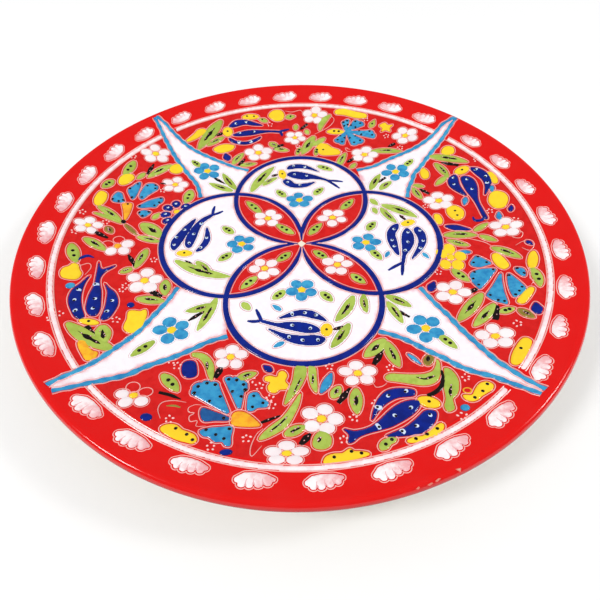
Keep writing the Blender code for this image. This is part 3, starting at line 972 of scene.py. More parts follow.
def make_ring():
    """The thin band round the fields, in four spans between the spikes."""
    for side, (start, end) in RING_SPANS.items():
        angles = np.radians(np.linspace(start, end, 160))
        ahead = np.column_stack([np.cos(angles), np.sin(angles)])
        outer = RING_CENTRE + RING_OUT_R * ahead
        inner = RING_CENTRE + RING_IN_R * ahead
        piece = Piece("ring_band_" + side)
        pool(piece, RING, resampled(np.vstack([outer, inner[::-1]]), 1.0, True), 0.42, 0.7,
             step=1.0)
        for line in (outer, inner):
            stroke(piece, PALE_LINE, resampled(line, 0.9, False), BESIDE_W, 0.5)
        piece.build("ring_" + side, slot="white_glaze")


# Room ----------------------------------------------------------------------------------------

LENS_MM = 27.66
CAMERA_TILT = 0.9041
CAMERA_ROLL = -0.0138
CAMERA_PLACE = (0.00006, -0.19216, 0.20157)
FLOOR_HALF = 3.0
WORLD_STRENGTH = 0.8
WORLD_IN_GLOSS = 0.16


def make_camera():
    """The camera, looking at the plate from the south and above."""
    data = bpy.data.cameras.new("photo_camera")
    data.sensor_width = 36
    data.lens = LENS_MM
    data.clip_start = 0.01
    camera = bpy.data.objects.new("photo_camera", data)
    bpy.context.scene.collection.objects.link(camera)
    right = Vector((1, 0, 0))
    up = Vector((0, math.sin(CAMERA_TILT), math.cos(CAMERA_TILT)))
    look = Vector((0, math.cos(CAMERA_TILT), -math.sin(CAMERA_TILT)))
    across = math.cos(CAMERA_ROLL) * right + math.sin(CAMERA_ROLL) * up
    rise = math.cos(CAMERA_ROLL) * up - math.sin(CAMERA_ROLL) * right
    matrix = Matrix((across, rise, -look)).transposed().to_4x4()
    matrix.translation = CAMERA_PLACE
    camera.matrix_world = matrix
    bpy.context.scene.camera = camera


def make_lamp(name, place, size, power):
    """A round area lamp that faces the plate."""
    data = bpy.data.lights.new(name, "AREA")
    data.shape = "DISK"
    data.size = size
    data.energy = power
    lamp = bpy.data.objects.new(name, data)
    bpy.context.scene.collection.objects.link(lamp)
    lamp.location = place
    lamp.rotation_euler = (-Vector(place)).to_track_quat("-Z", "Y").to_euler()


def make_floor():
    """A matt sheet under the plate, for the pictures only."""
    mesh = bpy.data.meshes.new("floor")
    half = FLOOR_HALF
    corners = [(-half, -half, 0), (half, -half, 0), (half, half, 0), (-half, half, 0)]
    mesh.from_pydata(corners, [], [(0, 1, 2, 3)])
    mesh.materials.append(FLOOR)
    floor = bpy.data.objects.new("floor", mesh)
    bpy.context.scene.collection.objects.link(floor)


def make_world():
    """White light all round, weaker in reflections."""
    world = bpy.data.worlds.new("studio")
    world.use_nodes = True
    tree = world.node_tree
    path = node(tree, "ShaderNodeLightPath")
    strength = ranged(tree, path.outputs["Is Glossy Ray"], 0, 1, WORLD_STRENGTH, WORLD_IN_GLOSS)
    background = tree.nodes["Background"]
    tree.links.new(strength, background.inputs["Strength"])
    background.inputs["Color"].default_value = (1, 1, 1, 1)
    bpy.context.scene.world = world
    bpy.context.scene.view_settings.view_transform = "Standard"


def make_room():
    """Floor, world and lamps."""
    make_floor()
    make_world()
    make_lamp("window", (-1.4, -0.5, 1.6), 0.5, 16)
    make_lamp("second_window", (1.5, 0.1, 1.3), 0.4, 8)


# Layout --------------------------------------------------------------------------------------

def fan_petal(piece, root, tips):
    """A turquoise wedge from root out to scallops between tips, with a dark dot in each."""
    root, tips = np.array(root, float), np.array(tips, float)
    if np.cross(tips[0] - root, tips[-1] - root) < 0:
        tips = tips[::-1]
    middle = tips.mean(axis=0) - root
    side = np.array([-middle[1], middle[0]]) / np.hypot(*middle)
    shape = np.vstack([[root - side * 0.7], scalloped(tips, 0.32), [root + side * 0.7]])
    outlined(piece, TURQUOISE, resampled(shape, STEP, True), high=0.75, soft=1.6)
    for a, b in zip(tips, tips[1:]):
        centre = 0.5 * (a + b)
        spot = centre + (root - centre) * (0.8 / np.hypot(*(root - centre)))
        dot(piece, BLACK, *spot, 0.95, 0.6, high=0.35)
    for tip in (tips[0], tips[-1]):
        spot = tip + (root - tip) * 0.42 + (tips.mean(axis=0) - tip) * 0.16
        dot(piece, BLACK, *spot, 0.85, 0.6, high=0.35)


def carnation(piece, petals, root):
    """Wedges about one root, each from its own scallop tips."""
    for petal in petals:
        fan_petal(piece, root, petal)


def tulip(piece, parts, eyes, calyx=None, tails=()):
    """Cobalt petals with white eyes, a yellow calyx, and cobalt fork lines at the tail."""
    for part in parts:
        outlined(piece, COBALT, curve(part), high=0.8, soft=1.8)
    for x, y in eyes:
        eye(piece, x, y, 1.45, 90 * ((x + y) % 4))
    if calyx:
        x, y, long, wide, turn = calyx
        outlined(piece, YELLOW, oval(x, y, long / 2, wide / 2, turn), high=0.75, soft=1.5)
        dot(piece, BLACK, x, y, 0.8, 0.65)
    for line in tails:
        stroke(piece, COBALT, curve(line, False, 0.5), 2.2, 0.7, taper=(1, 0.45))


CLOUD_LOBES = [(7.6, 2.8), (6.6, 5.4), (3.4, 6.3), (0.2, 5.5), (-3.2, 4.8), (-6.6, 3.8), (-7.0, 1.5)]
CLOUD_TOP = [(-3.4, 0.4), (1, 0.2), (5, 0.8)]
CLOUDS = {"east": (-41.6, 10.9), "north": (50.6, 10.83), "west": (138.7, 10.7),
          "south": (230.8, 10.66)}


def make_clouds():
    """The curled clouds painted on the red rim."""
    for side, (start, step) in CLOUDS.items():
        piece = Piece("rim_clouds_" + side)
        for k in range(8):
            angle = math.radians(start + step * k)
            out = np.array([math.cos(angle), math.sin(angle)])
            clockwise = np.array([out[1], -out[0]])
            base = RING_CENTRE * 0.5 + out * 135.6
            size = RANDOM.uniform(0.86, 0.98) if side == "east" else RANDOM.uniform(0.93, 1.04)
            lobes = np.array(CLOUD_LOBES) + RANDOM.uniform(-0.3, 0.3, (len(CLOUD_LOBES), 2))
            local = np.vstack([scalloped(lobes[::-1], -0.42)[::-1], CLOUD_TOP]) * size
            shape = base + np.outer(local[:, 0], clockwise) + np.outer(local[:, 1], out)
            head = base + out * 6 + clockwise * 6
            tail = base + out * 1.5 - clockwise * 7
            outlined(piece, CLOUD, resampled(shape, 0.7, True), high=0.6, soft=1.3, swell=0,
                     shade=(head, tail), step=0.7)
            for u, v in lobes[2:6] * size:
                cusp = base + out * v + clockwise * u
                inner = base + out * (v * 0.35) + clockwise * (u * 0.8)
                stroke(piece, CLOUD_PINK, curve([cusp, 0.5 * (cusp + inner) + clockwise * 0.4, inner],
                    False, 0.5), 1.1, 0.18, lift=0.42, taper=(1, 0.2))
        piece.build(slot="white_glaze")


def draw_daisies_north():
    """Daisies of the north field."""
    blooms = Piece("daisies_north")
    for x, y, size, turn in ((12.5, 121.5, 9.5, 80), (-27.2, 84.4, 10, 95), (45.5, 80, 9.5, 70),
                             (74.5, 94.5, 9, 100), (-2, 100, 8, 60)):
        daisy(blooms, x, y, size, turn)
    blooms.build(slot="white_glaze")


def draw_tulip_north():
    """The tulip of the north field."""
    flower = Piece("tulip_north")
    tulip(flower, [[(-49, 109), (-45, 115), (-38, 116.5), (-32, 115), (-25, 112), (-31, 111.5),
        (-38, 112), (-45, 109)], [(-46, 101.5), (-40, 105), (-33, 107), (-24, 107.2), (-20, 107.2),
        (-12, 106.8), (-12, 105.2), (-20, 105.4), (-26, 104.2), (-33, 102), (-42, 100.5)], [(-48, 98.5),
        (-42, 95.5), (-36, 95.5), (-30, 98.5), (-26, 101), (-28, 97), (-35, 92.8), (-42, 92.8),
        (-47, 95)]], [(-44, 111.8), (-37, 114.2), (-41, 103), (-31, 105), (-41, 94.2), (-33, 95.2)],
        (-49.5, 104, 9, 7, 90), [[(-13, 106), (-9.5, 107.3), (-6, 108.5)], [(-13, 106), (-11.5, 104),
        (-11, 101.5)]])
    flower.build("field_tulip_north", slot="cobalt_glaze")


def draw_carnation_flower_north():
    """The carnation of the north field."""
    fan = Piece("carnation_flower_north")
    carnation(fan, [[(32, 112.5), (34, 114.5), (37.5, 114.8)], [(40, 113.5), (44, 113), (47, 108.5)],
        [(49.5, 103.5), (53.5, 100.5), (52.5, 95.5)], [(46, 95), (42, 91.5), (37, 91.5)], [(32.5, 92),
        (29, 93.5), (26, 97)]], (34.5, 104.5))
    leaf(fan, (21, 105), (34, 103), 4.5, 1.5, "dots", body=YELLOW)
    fan.build("carnation_north", slot="turquoise_glaze")


def draw_leaves_north():
    """Leaves of the north field."""
    greens = Piece("leaves_north")
    leaf(greens, (-54.5, 114), (-68.3, 84.8), 7.0, -1.2)
    leaf(greens, (-52, 99), (-63, 89), 3.6)
    leaf(greens, (-1, 113), (-1.5, 107.5), 3.0, mark=None)
    leaf(greens, (6, 108), (7.5, 103), 3.0, mark=None)
    vine(greens, [(23, 122), (26.5, 116.5), (22.5, 110), (12, 103)])
    leaf(greens, (24, 121), (16, 106), 4.2, -4.5, mark=None)
    leaf(greens, (19, 99), (9, 91), 4.0, 1.0, mark=None)
    leaf(greens, (11.5, 101), (2.6, 82.6), 6.0, 0.3)
    leaf(greens, (14, 90), (12, 81), 3.0, mark="dots")
    leaf(greens, (2, 90), (-1, 82), 3.0, mark="dots")
    leaf(greens, (-19.6, 95), (-14, 90.2), 4.4)
    leaf(greens, (-16.6, 88.6), (-6.4, 86.6), 3.8, 0.4)
    leaf(greens, (-44, 72), (-37, 84), 4.2, 1.0)
    leaf(greens, (-39, 71), (-28, 73.5), 3.6)
    leaf(greens, (50, 83), (71, 80), 4.2, 1.5)
    leaf(greens, (27, 69), (33, 83), 4.2, 1.0)
    leaf(greens, (35, 67), (39, 72), 2.8, mark=None)
    bud(greens, -25, 117, 6, 4, 160, GREEN)
    dot(greens, BLACK, -25.5, 117.2, 0.7, 0.55)
    bud(greens, -5, 120.5, 6, 4.4, 10, GREEN)
    dot(greens, BLACK, -5, 120.5, 0.75, 0.55)
    bud(greens, 53.5, 109.5, 6.5, 4.2, 60, GREEN)
    dot(greens, BLACK, 53.2, 109, 0.7, 0.55)
    greens.build(slot="white_glaze")


def draw_buds_north():
    """Buds, stems and other small marks of the north field."""
    small = Piece("buds_north")
    blot(small, [(-76.9, 92.3), (-74.3, 96.4), (-72.1, 99.6), (-70.4, 103), (-67.4, 104.8),
        (-64.6, 104.3), (-63.8, 102.2), (-65.5, 99.8), (-67.6, 97.8), (-70.5, 94.9), (-73.4, 92.6),
        (-75.7, 91.4)])
    blot(small, [(-58, 86), (-53, 83), (-46, 86), (-44, 91), (-50, 92), (-55, 90)])
    blot(small, [(-40, 119), (-36, 121.8), (-30, 121.8), (-27.8, 119.5), (-32, 117.4), (-38, 117)],
        dots=[(-36.5, 119.5), (-31.5, 119.7)])
    blot(small, [(-21, 121), (-18, 126), (-12, 126.5), (-9.5, 122), (-11, 117.5), (-16, 116.5)])
    blot(small, [(12.5, 88), (15.5, 93.5), (20.5, 92.5), (24, 88.8), (28.6, 86), (28.4, 81.8), (21, 81),
        (15.5, 82)], dots=[(17.5, 86.5)])
    blot(small, [(28, 125), (34, 126), (42, 122.5), (49.5, 119), (49, 115.5), (42, 116.5), (34, 120),
        (28, 121.5)])
    blot(small, [(62, 109), (64, 106.5), (67.5, 106), (65, 103.4), (65, 100), (62, 101.8), (58.5, 100.8),
        (59.8, 104), (58, 107)])
    bud(small, -48.5, 79.5, 6.5, 5.0, 110)
    stem(small, (-58, 99.5), (-53, 102.5))
    stem(small, (2, 108), (7, 113.5))
    stem(small, (-17, 88), (-10, 93), bend=0.6)
    stem(small, (-36, 78), (-40, 71))
    stem(small, (62, 86), (67, 88.5))
    stem(small, (33, 73), (38, 77))
    for x, y in ((49, 114.5), (62, 96.5), (29, 84), (0, 91), (-20, 113), (70, 84)):
        spray(small, x, y)
    vine(small, [(-9, 126), (-4, 125), (2, 126.5), (4, 124)])
    vine(small, [(36, 86), (33, 88), (34, 84.5), (38, 84)])
    small.build(slot="red_glaze")


def make_field_north():
    """Everything painted in the north field."""
    draw_daisies_north()
    draw_tulip_north()
    draw_carnation_flower_north()
    draw_leaves_north()
    draw_buds_north()


def draw_daisies_east():
    """Daisies of the east field."""
    blooms = Piece("daisies_east")
    for x, y, size, turn in ((86.5, 31, 9.5, 90), (79.6, -41.4, 9.5, 60), (118, 2, 9, 80),
                             (92, -72, 9, 20)):
        daisy(blooms, x, y, size, turn)
    blooms.build(slot="white_glaze")


def draw_tulip_east():
    """The tulip of the east field."""
    flower = Piece("tulip_east")
    tulip(flower, [[(100, 52.5), (96, 50), (95, 44), (98, 38), (103.5, 32.5), (101.5, 42), (101.5, 50)],
        [(103, 48), (106, 49.8), (110, 46), (111, 39), (109.5, 30), (109.3, 24), (110.8, 12), (108.6, 12),
        (107.2, 24), (106, 30), (103.8, 38)], [(110, 56), (115, 54), (119, 48), (119.5, 40),
        (113.5, 30.5), (115.2, 38), (114.8, 44), (112, 50)]], [(98.6, 49), (97.8, 43.5), (106.2, 46),
        (107.4, 37), (113, 53), (117, 45.5), (117, 40)], (105, 55, 9.5, 6.5, 20), [[(109.7, 13),
        (107, 10.5), (103.5, 11), (103, 14)]])
    flower.build("field_tulip_east", slot="cobalt_glaze")


def draw_carnation_flower_east():
    """The carnation of the east field."""
    fan = Piece("carnation_flower_east")
    blot(fan, [(97.7, -16.8), (101.8, -20.5), (103.8, -23.7), (100.7, -24.8), (97.1, -25.5),
        (93.6, -24.1), (93.2, -21.6), (95.4, -18.7)], TURQUOISE, [(98, -18), (94.8, -22), (101.4, -22.8)])
    blot(fan, [(104.7, -27.9), (97.9, -26.8), (93, -28.1), (91, -30.2), (90.5, -34.2), (92.3, -39.2),
        (93.6, -40.9), (97.7, -37.1), (101.7, -32.5)], TURQUOISE, [(93.6, -29), (91.8, -33.6),
        (93.4, -38.2), (103.2, -28.6)])
    blot(fan, [(106.4, -31.1), (105.5, -37), (104.4, -44.3), (103.7, -52.6), (100.9, -51.7), (98.2, -50),
        (95.5, -46.5), (95.7, -44.7), (100.3, -39.1)], TURQUOISE, [(97, -46), (99.8, -49.8),
        (102.4, -51)])
    blot(fan, [(109.6, -32.4), (111.7, -35), (114.7, -43.1), (113.2, -46.2), (108.2, -49.1), (107, -46.3),
        (107.6, -38.9)], TURQUOISE, [(113, -43.2), (111, -45.6), (108.6, -47.6), (109.6, -34)])
    blot(fan, [(114, -29), (117.6, -30.2), (118, -33.6), (116.4, -36.3), (114.1, -32.7)], TURQUOISE,
        [(114.8, -30), (116.8, -34)])
    vine(fan, [(119.5, -30.5), (120.2, -34), (118.6, -37.6), (119.6, -40), (117.6, -42.4)])
    blot(fan, [(106, -17), (109, -17), (111.3, -22), (111.8, -27), (108.6, -29), (106, -26), (105, -21)])
    fan.build("carnation_east", slot="turquoise_glaze")


def draw_leaves_east():
    """Leaves of the east field."""
    greens = Piece("leaves_east")
    leaf(greens, (87, 72.5), (110, 61), 5.0, 1.8)
    leaf(greens, (90, 65), (96, 50), 4.2, 1.5)
    leaf(greens, (95, 52), (87, 45), 3.6, mark=None)
    leaf(greens, (73, 47), (80, 45), 3.0, mark=None)
    leaf(greens, (73, 45), (77, 33.5), 3.8, -0.8)
    leaf(greens, (84, 1.5), (102, -1), 4.8, 1.0)
    leaf(greens, (101, 2.5), (110, 7.5), 3.2, mark=None)
    leaf(greens, (103, -1.5), (111, -7.5), 3.2, mark=None)
    leaf(greens, (85, -2.5), (96, -8.5), 3.6, -0.8)
    leaf(greens, (107, -12), (119, -23), 4.4, 1.5)
    leaf(greens, (83, -25), (90, -35), 4.6, -0.8, "dots")
    leaf(greens, (93.6, -44), (77.5, -61), 5.6, 0.5)
    leaf(greens, (97.5, -51.6), (84, -65), 4.8, 0.9)
    leaf(greens, (98, -57.5), (106, -56), 3.6, mark="dots")
    leaf(greens, (121.5, -31), (121, -45), 4.2, 1.5, "dots")
    leaf(greens, (107, -57), (112, -64), 3.8, body=OLIVE)
    greens.build(slot="white_glaze")


def draw_buds_east():
    """Buds, stems and other small marks of the east field."""
    small = Piece("buds_east")
    blot(small, [(95.5, 73), (97, 77.5), (100.5, 78.5), (103.5, 76), (103, 71.5), (99, 70.5)])
    blot(small, [(80, 60.5), (82.5, 62), (84.8, 58), (84, 53), (81, 52), (79.5, 55.5)])
    blot(small, [(90, 24), (95, 25.5), (99, 20.5), (97.5, 14.5), (93, 13), (89.5, 18)], dots=[(94, 20.5),
        (94.5, 16.5)])
    blot(small, [(81.5, 19), (84.5, 19), (85.6, 14), (84, 10.5), (81.2, 12)])
    blot(small, [(119.5, 32.5), (124, 29.5), (125, 24), (121.5, 18), (116.5, 18.5), (114.3, 24),
        (116, 30)])
    bud(small, 93, 6.3, 12, 4.6, -20)
    vine(small, [(117, -1), (122, -1.5), (125, -4.5), (123, -8), (119.5, -6.5), (121, -3.5)])
    vine(small, [(119, -13), (124, -11), (127.5, -15), (124.5, -18.5), (121.5, -15.5)])
    bud(small, 126, -13, 4, 2.6, -60)
    daisy(small, 84, -16.4, 9, 80, 1.2, petal=YELLOW, heart=YELLOW)
    bud(small, 92, -13, 6, 3, 170, TURQUOISE)
    bud(small, 70, -36.5, 6.5, 4.6, 60)
    bud(small, 115, -58, 6.5, 5, 80)
    blot(small, [(108, -52), (110.5, -54), (115, -50), (118.2, -45.5), (116.5, -43.8), (112, -47)])
    blot(small, [(120.5, -31), (123.5, -31), (126.5, -25), (126.5, -19.5), (123.8, -20.5), (121, -26)])
    blot(small, [(103, -75), (106, -77.5), (102, -84), (97, -89.5), (93.5, -88.5), (96.5, -82)],
        dots=[(100, -81)])
    blot(small, [(118.5, 48), (121.5, 48.3), (123.3, 43), (122.5, 38.5), (119.8, 39.5)])
    bud(small, 117, 12, 5.5, 3.2, 80, TURQUOISE)
    bud(small, 101.5, 28, 6, 3.2, 250, TURQUOISE)
    bud(small, 118.5, 34.5, 5, 2.8, 260, TURQUOISE)
    bud(small, 124.5, 16, 4.5, 2.8, 70)
    stem(small, (94, 65), (104, 60))
    stem(small, (77, 43), (82, 38))
    stem(small, (87, -43), (92, -40.5))
    stem(small, (98.6, -53), (95, -62), 3.2)
    vine(small, [(95, -2), (104, -7), (108, -12)])
    for x, y in ((75, -27), (115, 62), (113, 17), (78, 27), (87, -53), (124, 6), (104, -66)):
        spray(small, x, y)
    small.build(slot="red_glaze")


def make_field_east():
    """Everything painted in the east field."""
    draw_daisies_east()
    draw_tulip_east()
    draw_carnation_flower_east()
    draw_leaves_east()
    draw_buds_east()


def draw_daisies_south():
    """Daisies of the south field."""
    blooms = Piece("daisies_south")
    daisy(blooms, -33, -78.5, 8.5, 90)
    daisy(blooms, -72, -101, 8, 30, bare=(0, 1))
    daisy(blooms, 26, -88.5, 9, 90, 0.8)
    daisy(blooms, 8.4, -111.6, 9.3, 75, 0.85)
    daisy(blooms, -6, -127.4, 9.2, 90, 0.62)
    blooms.build(slot="white_glaze")


def draw_tulip_south():
    """The tulip of the south field."""
    flower = Piece("tulip_south")
    tulip(flower, [[(49.8, -99), (48, -98), (44.4, -97.4), (40.3, -97.5), (36.9, -98.8), (34.3, -101.3),
        (32.4, -104.2), (30.3, -109), (29.2, -113.3), (31.2, -110.7), (34.3, -107), (38.4, -103.9),
        (42.2, -102.3), (46.4, -102), (49.2, -101.5)], [(50.8, -104.4), (47.3, -103.8), (43.6, -104.6),
        (39.7, -106.7), (36.3, -109.4), (33.6, -112), (30.3, -114.8), (26.8, -116.7), (21.7, -117.7),
        (17.3, -116.7), (19.2, -119.6), (18.5, -123.2), (20.5, -123), (22.3, -121.5), (24.1, -120.3),
        (27.7, -119), (32.1, -117.9), (36.7, -116.6), (40.4, -114.8), (44.8, -112.3), (48.1, -109.8),
        (50.3, -107)], [(51.6, -109.6), (54, -109.2), (56.2, -110.2), (56, -112.5), (54.4, -115.6),
        (52.1, -118), (49.5, -119.8), (45.9, -120.7), (41.5, -121.1), (37.2, -121.2), (33.9, -120.8),
        (36.4, -119.5), (42.2, -117), (46.2, -114.2), (49.6, -111.3)]], [(45.8, -99.5), (37.8, -101.4),
        (32.9, -107), (46.3, -107.9), (39, -111.4), (31.5, -116.2), (53.3, -112.1), (46.8, -116.9),
        (41, -119.2)], (54.4, -105.3, 9.6, 5.8, -22))
    flower.build("field_tulip_south", slot="cobalt_glaze")


def draw_carnation_flower_south():
    """The carnation of the south field."""
    fan = Piece("carnation_flower_south")
    fan_petal(fan, (-31, -108.6), [(-36.7, -94.3), (-40.5, -92.8), (-44.4, -93), (-48, -96.8),
        (-46.9, -100)])
    fan_petal(fan, (-26.6, -106.2), [(-25.2, -97.2), (-24.1, -94.8), (-27.2, -91.8), (-31, -90.2),
        (-34.7, -91)])
    blot(fan, [(-23.2, -107), (-23.5, -103), (-23.2, -99.3), (-21.4, -97.8), (-19, -98), (-17.4, -100.6),
        (-14.3, -102.8), (-14.6, -105.4), (-18.8, -106), (-20.8, -107.5)], TURQUOISE, [(-20.8, -100),
        (-16.6, -103.6), (-21, -105.6)])
    blot(fan, [(-30.8, -110.4), (-38, -107.4), (-42.2, -106), (-42.8, -109), (-40.8, -112.7),
        (-36, -112.4), (-30.6, -112.2)], STORMY, [(-32.6, -111.2)])
    vine(fan, [(-42.5, -104.8), (-45.5, -104.6), (-48, -106.2), (-47.6, -108.4), (-45.2, -108.8),
        (-47, -110.6), (-46.2, -113), (-43.4, -112.6), (-43.4, -115.2), (-39.5, -115)])
    blot(fan, [(-28.7, -115.2), (-33, -115.2), (-38, -115.8), (-41.6, -117.3), (-40, -119.8),
        (-37.5, -120.3), (-34.8, -122.4), (-32, -122.4), (-30.6, -124), (-28.4, -124), (-28.6, -120)],
        TURQUOISE, [(-39, -117), (-34.8, -119.2), (-31.3, -121), (-29.7, -116.4)])
    blot(fan, [(-29.6, -111), (-28.6, -108.2), (-25.5, -107.6), (-22, -109.2), (-17.5, -113.6),
        (-17.8, -115), (-24, -115.2), (-28.8, -114.3)], ORANGE)
    fan.build("carnation_south", slot="turquoise_glaze")


def draw_leaves_south():
    """Leaves of the south field."""
    greens = Piece("leaves_south")
    frond(greens, [(-51, -76.3), (-47, -76.3), (-43.4, -78.3), (-40.3, -83), (-39.6, -88.5),
        (-40.1, -92.5), (-42.2, -89.2), (-44.3, -84), (-47.5, -79.8), (-51, -78.5)], [(-43.6, -81.5),
        (-42.8, -86)])
    leaf(greens, (-29, -91), (-20, -87.4), 3.8, 0.5)
    frond(greens, [(-0.2, -98), (-0.6, -103), (-2.3, -108), (-6, -115), (-12, -119.5), (-17, -121.5),
        (-16.8, -119.3), (-13.5, -115.3), (-7.9, -110.3), (-4, -104.2)], [(-13.5, -118), (-9, -114),
        (-5.3, -109.6)], bold=1.2)
    vine(greens, [(-16, -124), (-19.6, -128.7), (-20.4, -125), (-18.6, -119), (-16, -116)])
    frond(greens, [(-2.6, -84), (0, -83.6), (2.6, -84.2), (2.6, -88.4), (0.2, -94.6), (-3.4, -100.3),
        (-7.3, -104.6), (-6.3, -98.6), (-3.8, -91.7)], [(0.2, -90.5), (-1.4, -94), (-3.2, -98.5)],
        bold=1.1)
    frond(greens, [(3.5, -83.8), (6.8, -84.8), (7.2, -89.8), (7.4, -96.4), (6.6, -98.6), (4.4, -95),
        (3.4, -89)], [(5.4, -89), (5.4, -94)], bold=1.3)
    leaf(greens, (13.5, -101.3), (17.6, -95), 4.2)
    leaf(greens, (24.5, -96.6), (23.7, -110), 5.0, -0.6)
    leaf(greens, (41, -69.5), (29.8, -79.6), 5.8, 0.6)
    leaf(greens, (41.5, -71), (45.5, -86), 5.2, -0.6)
    frond(greens, [(38.2, -90.7), (41, -89.3), (47.2, -90), (53.3, -90.4), (57, -90), (60, -88.5),
        (61.8, -85.5), (62.6, -82.5), (63.8, -84.5), (63, -89.5), (62, -92.3), (60.6, -94.5),
        (57.8, -96.2), (53.7, -96.6), (48.6, -95.4), (43.3, -94), (38.8, -92.9)], [(51.5, -92),
        (55, -93.4), (58, -92.6), (61, -92)])
    vine(greens, [(38.5, -94.2), (36.5, -95.8), (33.5, -96.4), (32.4, -94.6)])
    frond(greens, [(65.1, -87.7), (68, -89.3), (69.4, -94), (68.7, -98.8), (67, -102.3), (64.7, -104.5),
        (64.3, -107), (64, -109.7), (61, -110.8), (60.2, -108), (61.7, -104), (62.5, -97.6), (64, -91.8)],
        [(66.2, -97), (64.6, -100), (63.6, -104)])
    frond(greens, [(7, -117.6), (10, -117.6), (12, -120.5), (11.4, -124.4), (8, -126), (4.6, -124.8),
        (4.6, -121)], [(7.4, -120.4), (6.6, -123)], bold=2.0)
    leaf(greens, (-7, -119), (2, -114.8), 4.2)
    leaf(greens, (-62.8, -89), (-53.8, -98.2), 4.8, 0.6, "dots")
    vine(greens, [(-58.5, -112), (-60.5, -107.5), (-59.5, -104), (-55, -102.8), (-49.5, -103.5)])
    stroke(greens, OLIVE, curve([(-57.5, -105.6), (-54, -105.4), (-51.5, -106.2)], False), 1.2, 0.3,
        taper=(0.4, 0.6))
    greens.build(slot="white_glaze")


def draw_buds_south():
    """Buds, stems and other small marks of the south field."""
    small = Piece("buds_south")
    blot(small, [(-54.4, -82.2), (-52, -80.8), (-49.2, -81.5), (-47.7, -85.5), (-47.5, -89.3),
        (-50.5, -90.6), (-53.2, -89.5), (-54.7, -86)], COBALT)
    bud(small, -15.4, -85, 4.6, 3.4, 140)
    blot(small, [(-16.4, -89.8), (-14, -89), (-11, -89.7), (-10, -87), (-7.8, -86.5), (-6.2, -89),
        (-7.1, -92), (-5.7, -94.3), (-6.7, -96.3), (-9.5, -96.6), (-11.3, -98.3), (-14, -97.6),
        (-15, -95), (-14, -92.7), (-16.2, -91.8)])
    blot(small, [(14, -87.6), (14.4, -91), (13.4, -94.6), (10.9, -97.5), (8.4, -98.9), (8.7, -95.3),
        (10.5, -91.3)], TURQUOISE)
    bud(small, 53, -82, 7.5, 2.2, -52, TURQUOISE)
    blot(small, [(57.7, -81), (59.3, -79.6), (61.3, -80.2), (61.8, -82.2), (60.6, -84.6), (58.5, -86),
        (56.7, -85), (56.7, -82.6)], OLIVE)
    dot(small, BLACK, 58.9, -82.4, 1.1, 0.4, 1.8, 70)
    blot(small, [(76.2, -98.8), (78.3, -97.2), (81, -97), (82.8, -99), (81.6, -101.5), (79.1, -103),
        (76.5, -104.4), (74.4, -106), (71.9, -106.6), (69.6, -105.4), (68.9, -103.2), (70.2, -102.8),
        (72.7, -103.2), (74.6, -100.8)], dots=[(77.4, -102), (73.3, -104.9), (80.3, -98.6)])
    stroke(small, ORANGE, oval(71.6, -100.8, 1.7, 1.4), 0.8, 0.4, closed=True)
    dot(small, TURQUOISE, 68.2, -109.4, 1.8, 0.1, 1.15, 20, 0.6)
    blot(small, [(42, -122.9), (45.2, -121.5), (48.4, -121.4), (50, -120), (52.1, -118.9), (54.4, -117.1),
        (56.9, -115.9), (57.8, -117.4), (56.3, -120), (54.2, -121.6), (50.6, -122.9), (47.2, -123.9),
        (44.7, -124.5), (42.1, -124.3)], dots=[(45.3, -122.8), (50.1, -121), (54.6, -118.7)])
    blot(small, [(8.2, -131), (9.4, -129), (12.1, -127.9), (15.9, -127.6), (18.8, -125.8), (20.6, -126.9),
        (23, -127.1), (26, -127.8), (26.2, -129.1), (23, -130.2), (18.5, -131.2), (13.1, -132),
        (8.4, -132.4)], dots=[(12.5, -129.6), (19.4, -127.3), (23.2, -128.2)])
    blot(small, [(-57.2, -115.8), (-54.2, -114.4), (-51.2, -114.9), (-48.5, -117), (-46.2, -117.8),
        (-43.3, -119.2), (-41.9, -121.8), (-43.3, -123.4), (-46.2, -123), (-50.4, -121.8),
        (-54.3, -119.8), (-56.9, -117.9)], dots=[(-51.2, -116.7), (-46.3, -119.4), (-43.6, -121.8)])
    frond(small, [(36.1, -121.1), (38.1, -122), (37.2, -123.8), (35.3, -124.8), (33.6, -126.8),
        (31.2, -127.2), (30.4, -125.2), (31.9, -122.8), (34, -121.7)])
    dot(small, BLACK, 35.9, -122.6)
    dot(small, BLACK, 33.2, -124.6)
    dot(small, COBALT, -64.2, -111.6, 2.0, 0.1, 1.3, -15, 0.6)
    dot(small, COBALT, -29.8, -127, 1.6, 0.1, 1.7, 5, 0.6)
    stem(small, (-36.5, -83.6), (-38.9, -90.4), 3.0)
    stem(small, (-9, -109.8), (-17, -113.2), 1.5)
    stem(small, (21.8, -96.4), (16, -104), 2.8)
    stem(small, (39.3, -75.4), (33.8, -84), 3.0)
    stroke(small, BLACK, curve([(63.6, -89), (63.2, -93.5), (61.6, -97.5), (58.5, -100.3),
        (54.6, -102.2)], False), 2.3, 0.5, taper=(0.5, 1))
    stroke(small, BLACK, curve([(-62, -98.8), (-57, -100), (-52, -102)], False), 1.9, 0.4,
        taper=(0.9, 0.3))
    stem(small, (3.6, -118.6), (-0.6, -123.6), 2.8)
    for x, y in ((-57, -84), (-55, -112.2), (-18.5, -94.5), (22, -111.5), (13, -84.5),
                 (-22.5, -120.5), (-23, -91), (-14, -101), (-13, -104.8), (17, -121.5),
                 (66, -113.5), (-60, -81), (41, -86), (32, -105), (73, -94), (-36, -124.6)):
        spray(small, x, y)
    small.build(slot="red_glaze")


def make_field_south():
    """Everything painted in the south field."""
    draw_daisies_south()
    draw_tulip_south()
    draw_carnation_flower_south()
    draw_leaves_south()
    draw_buds_south()


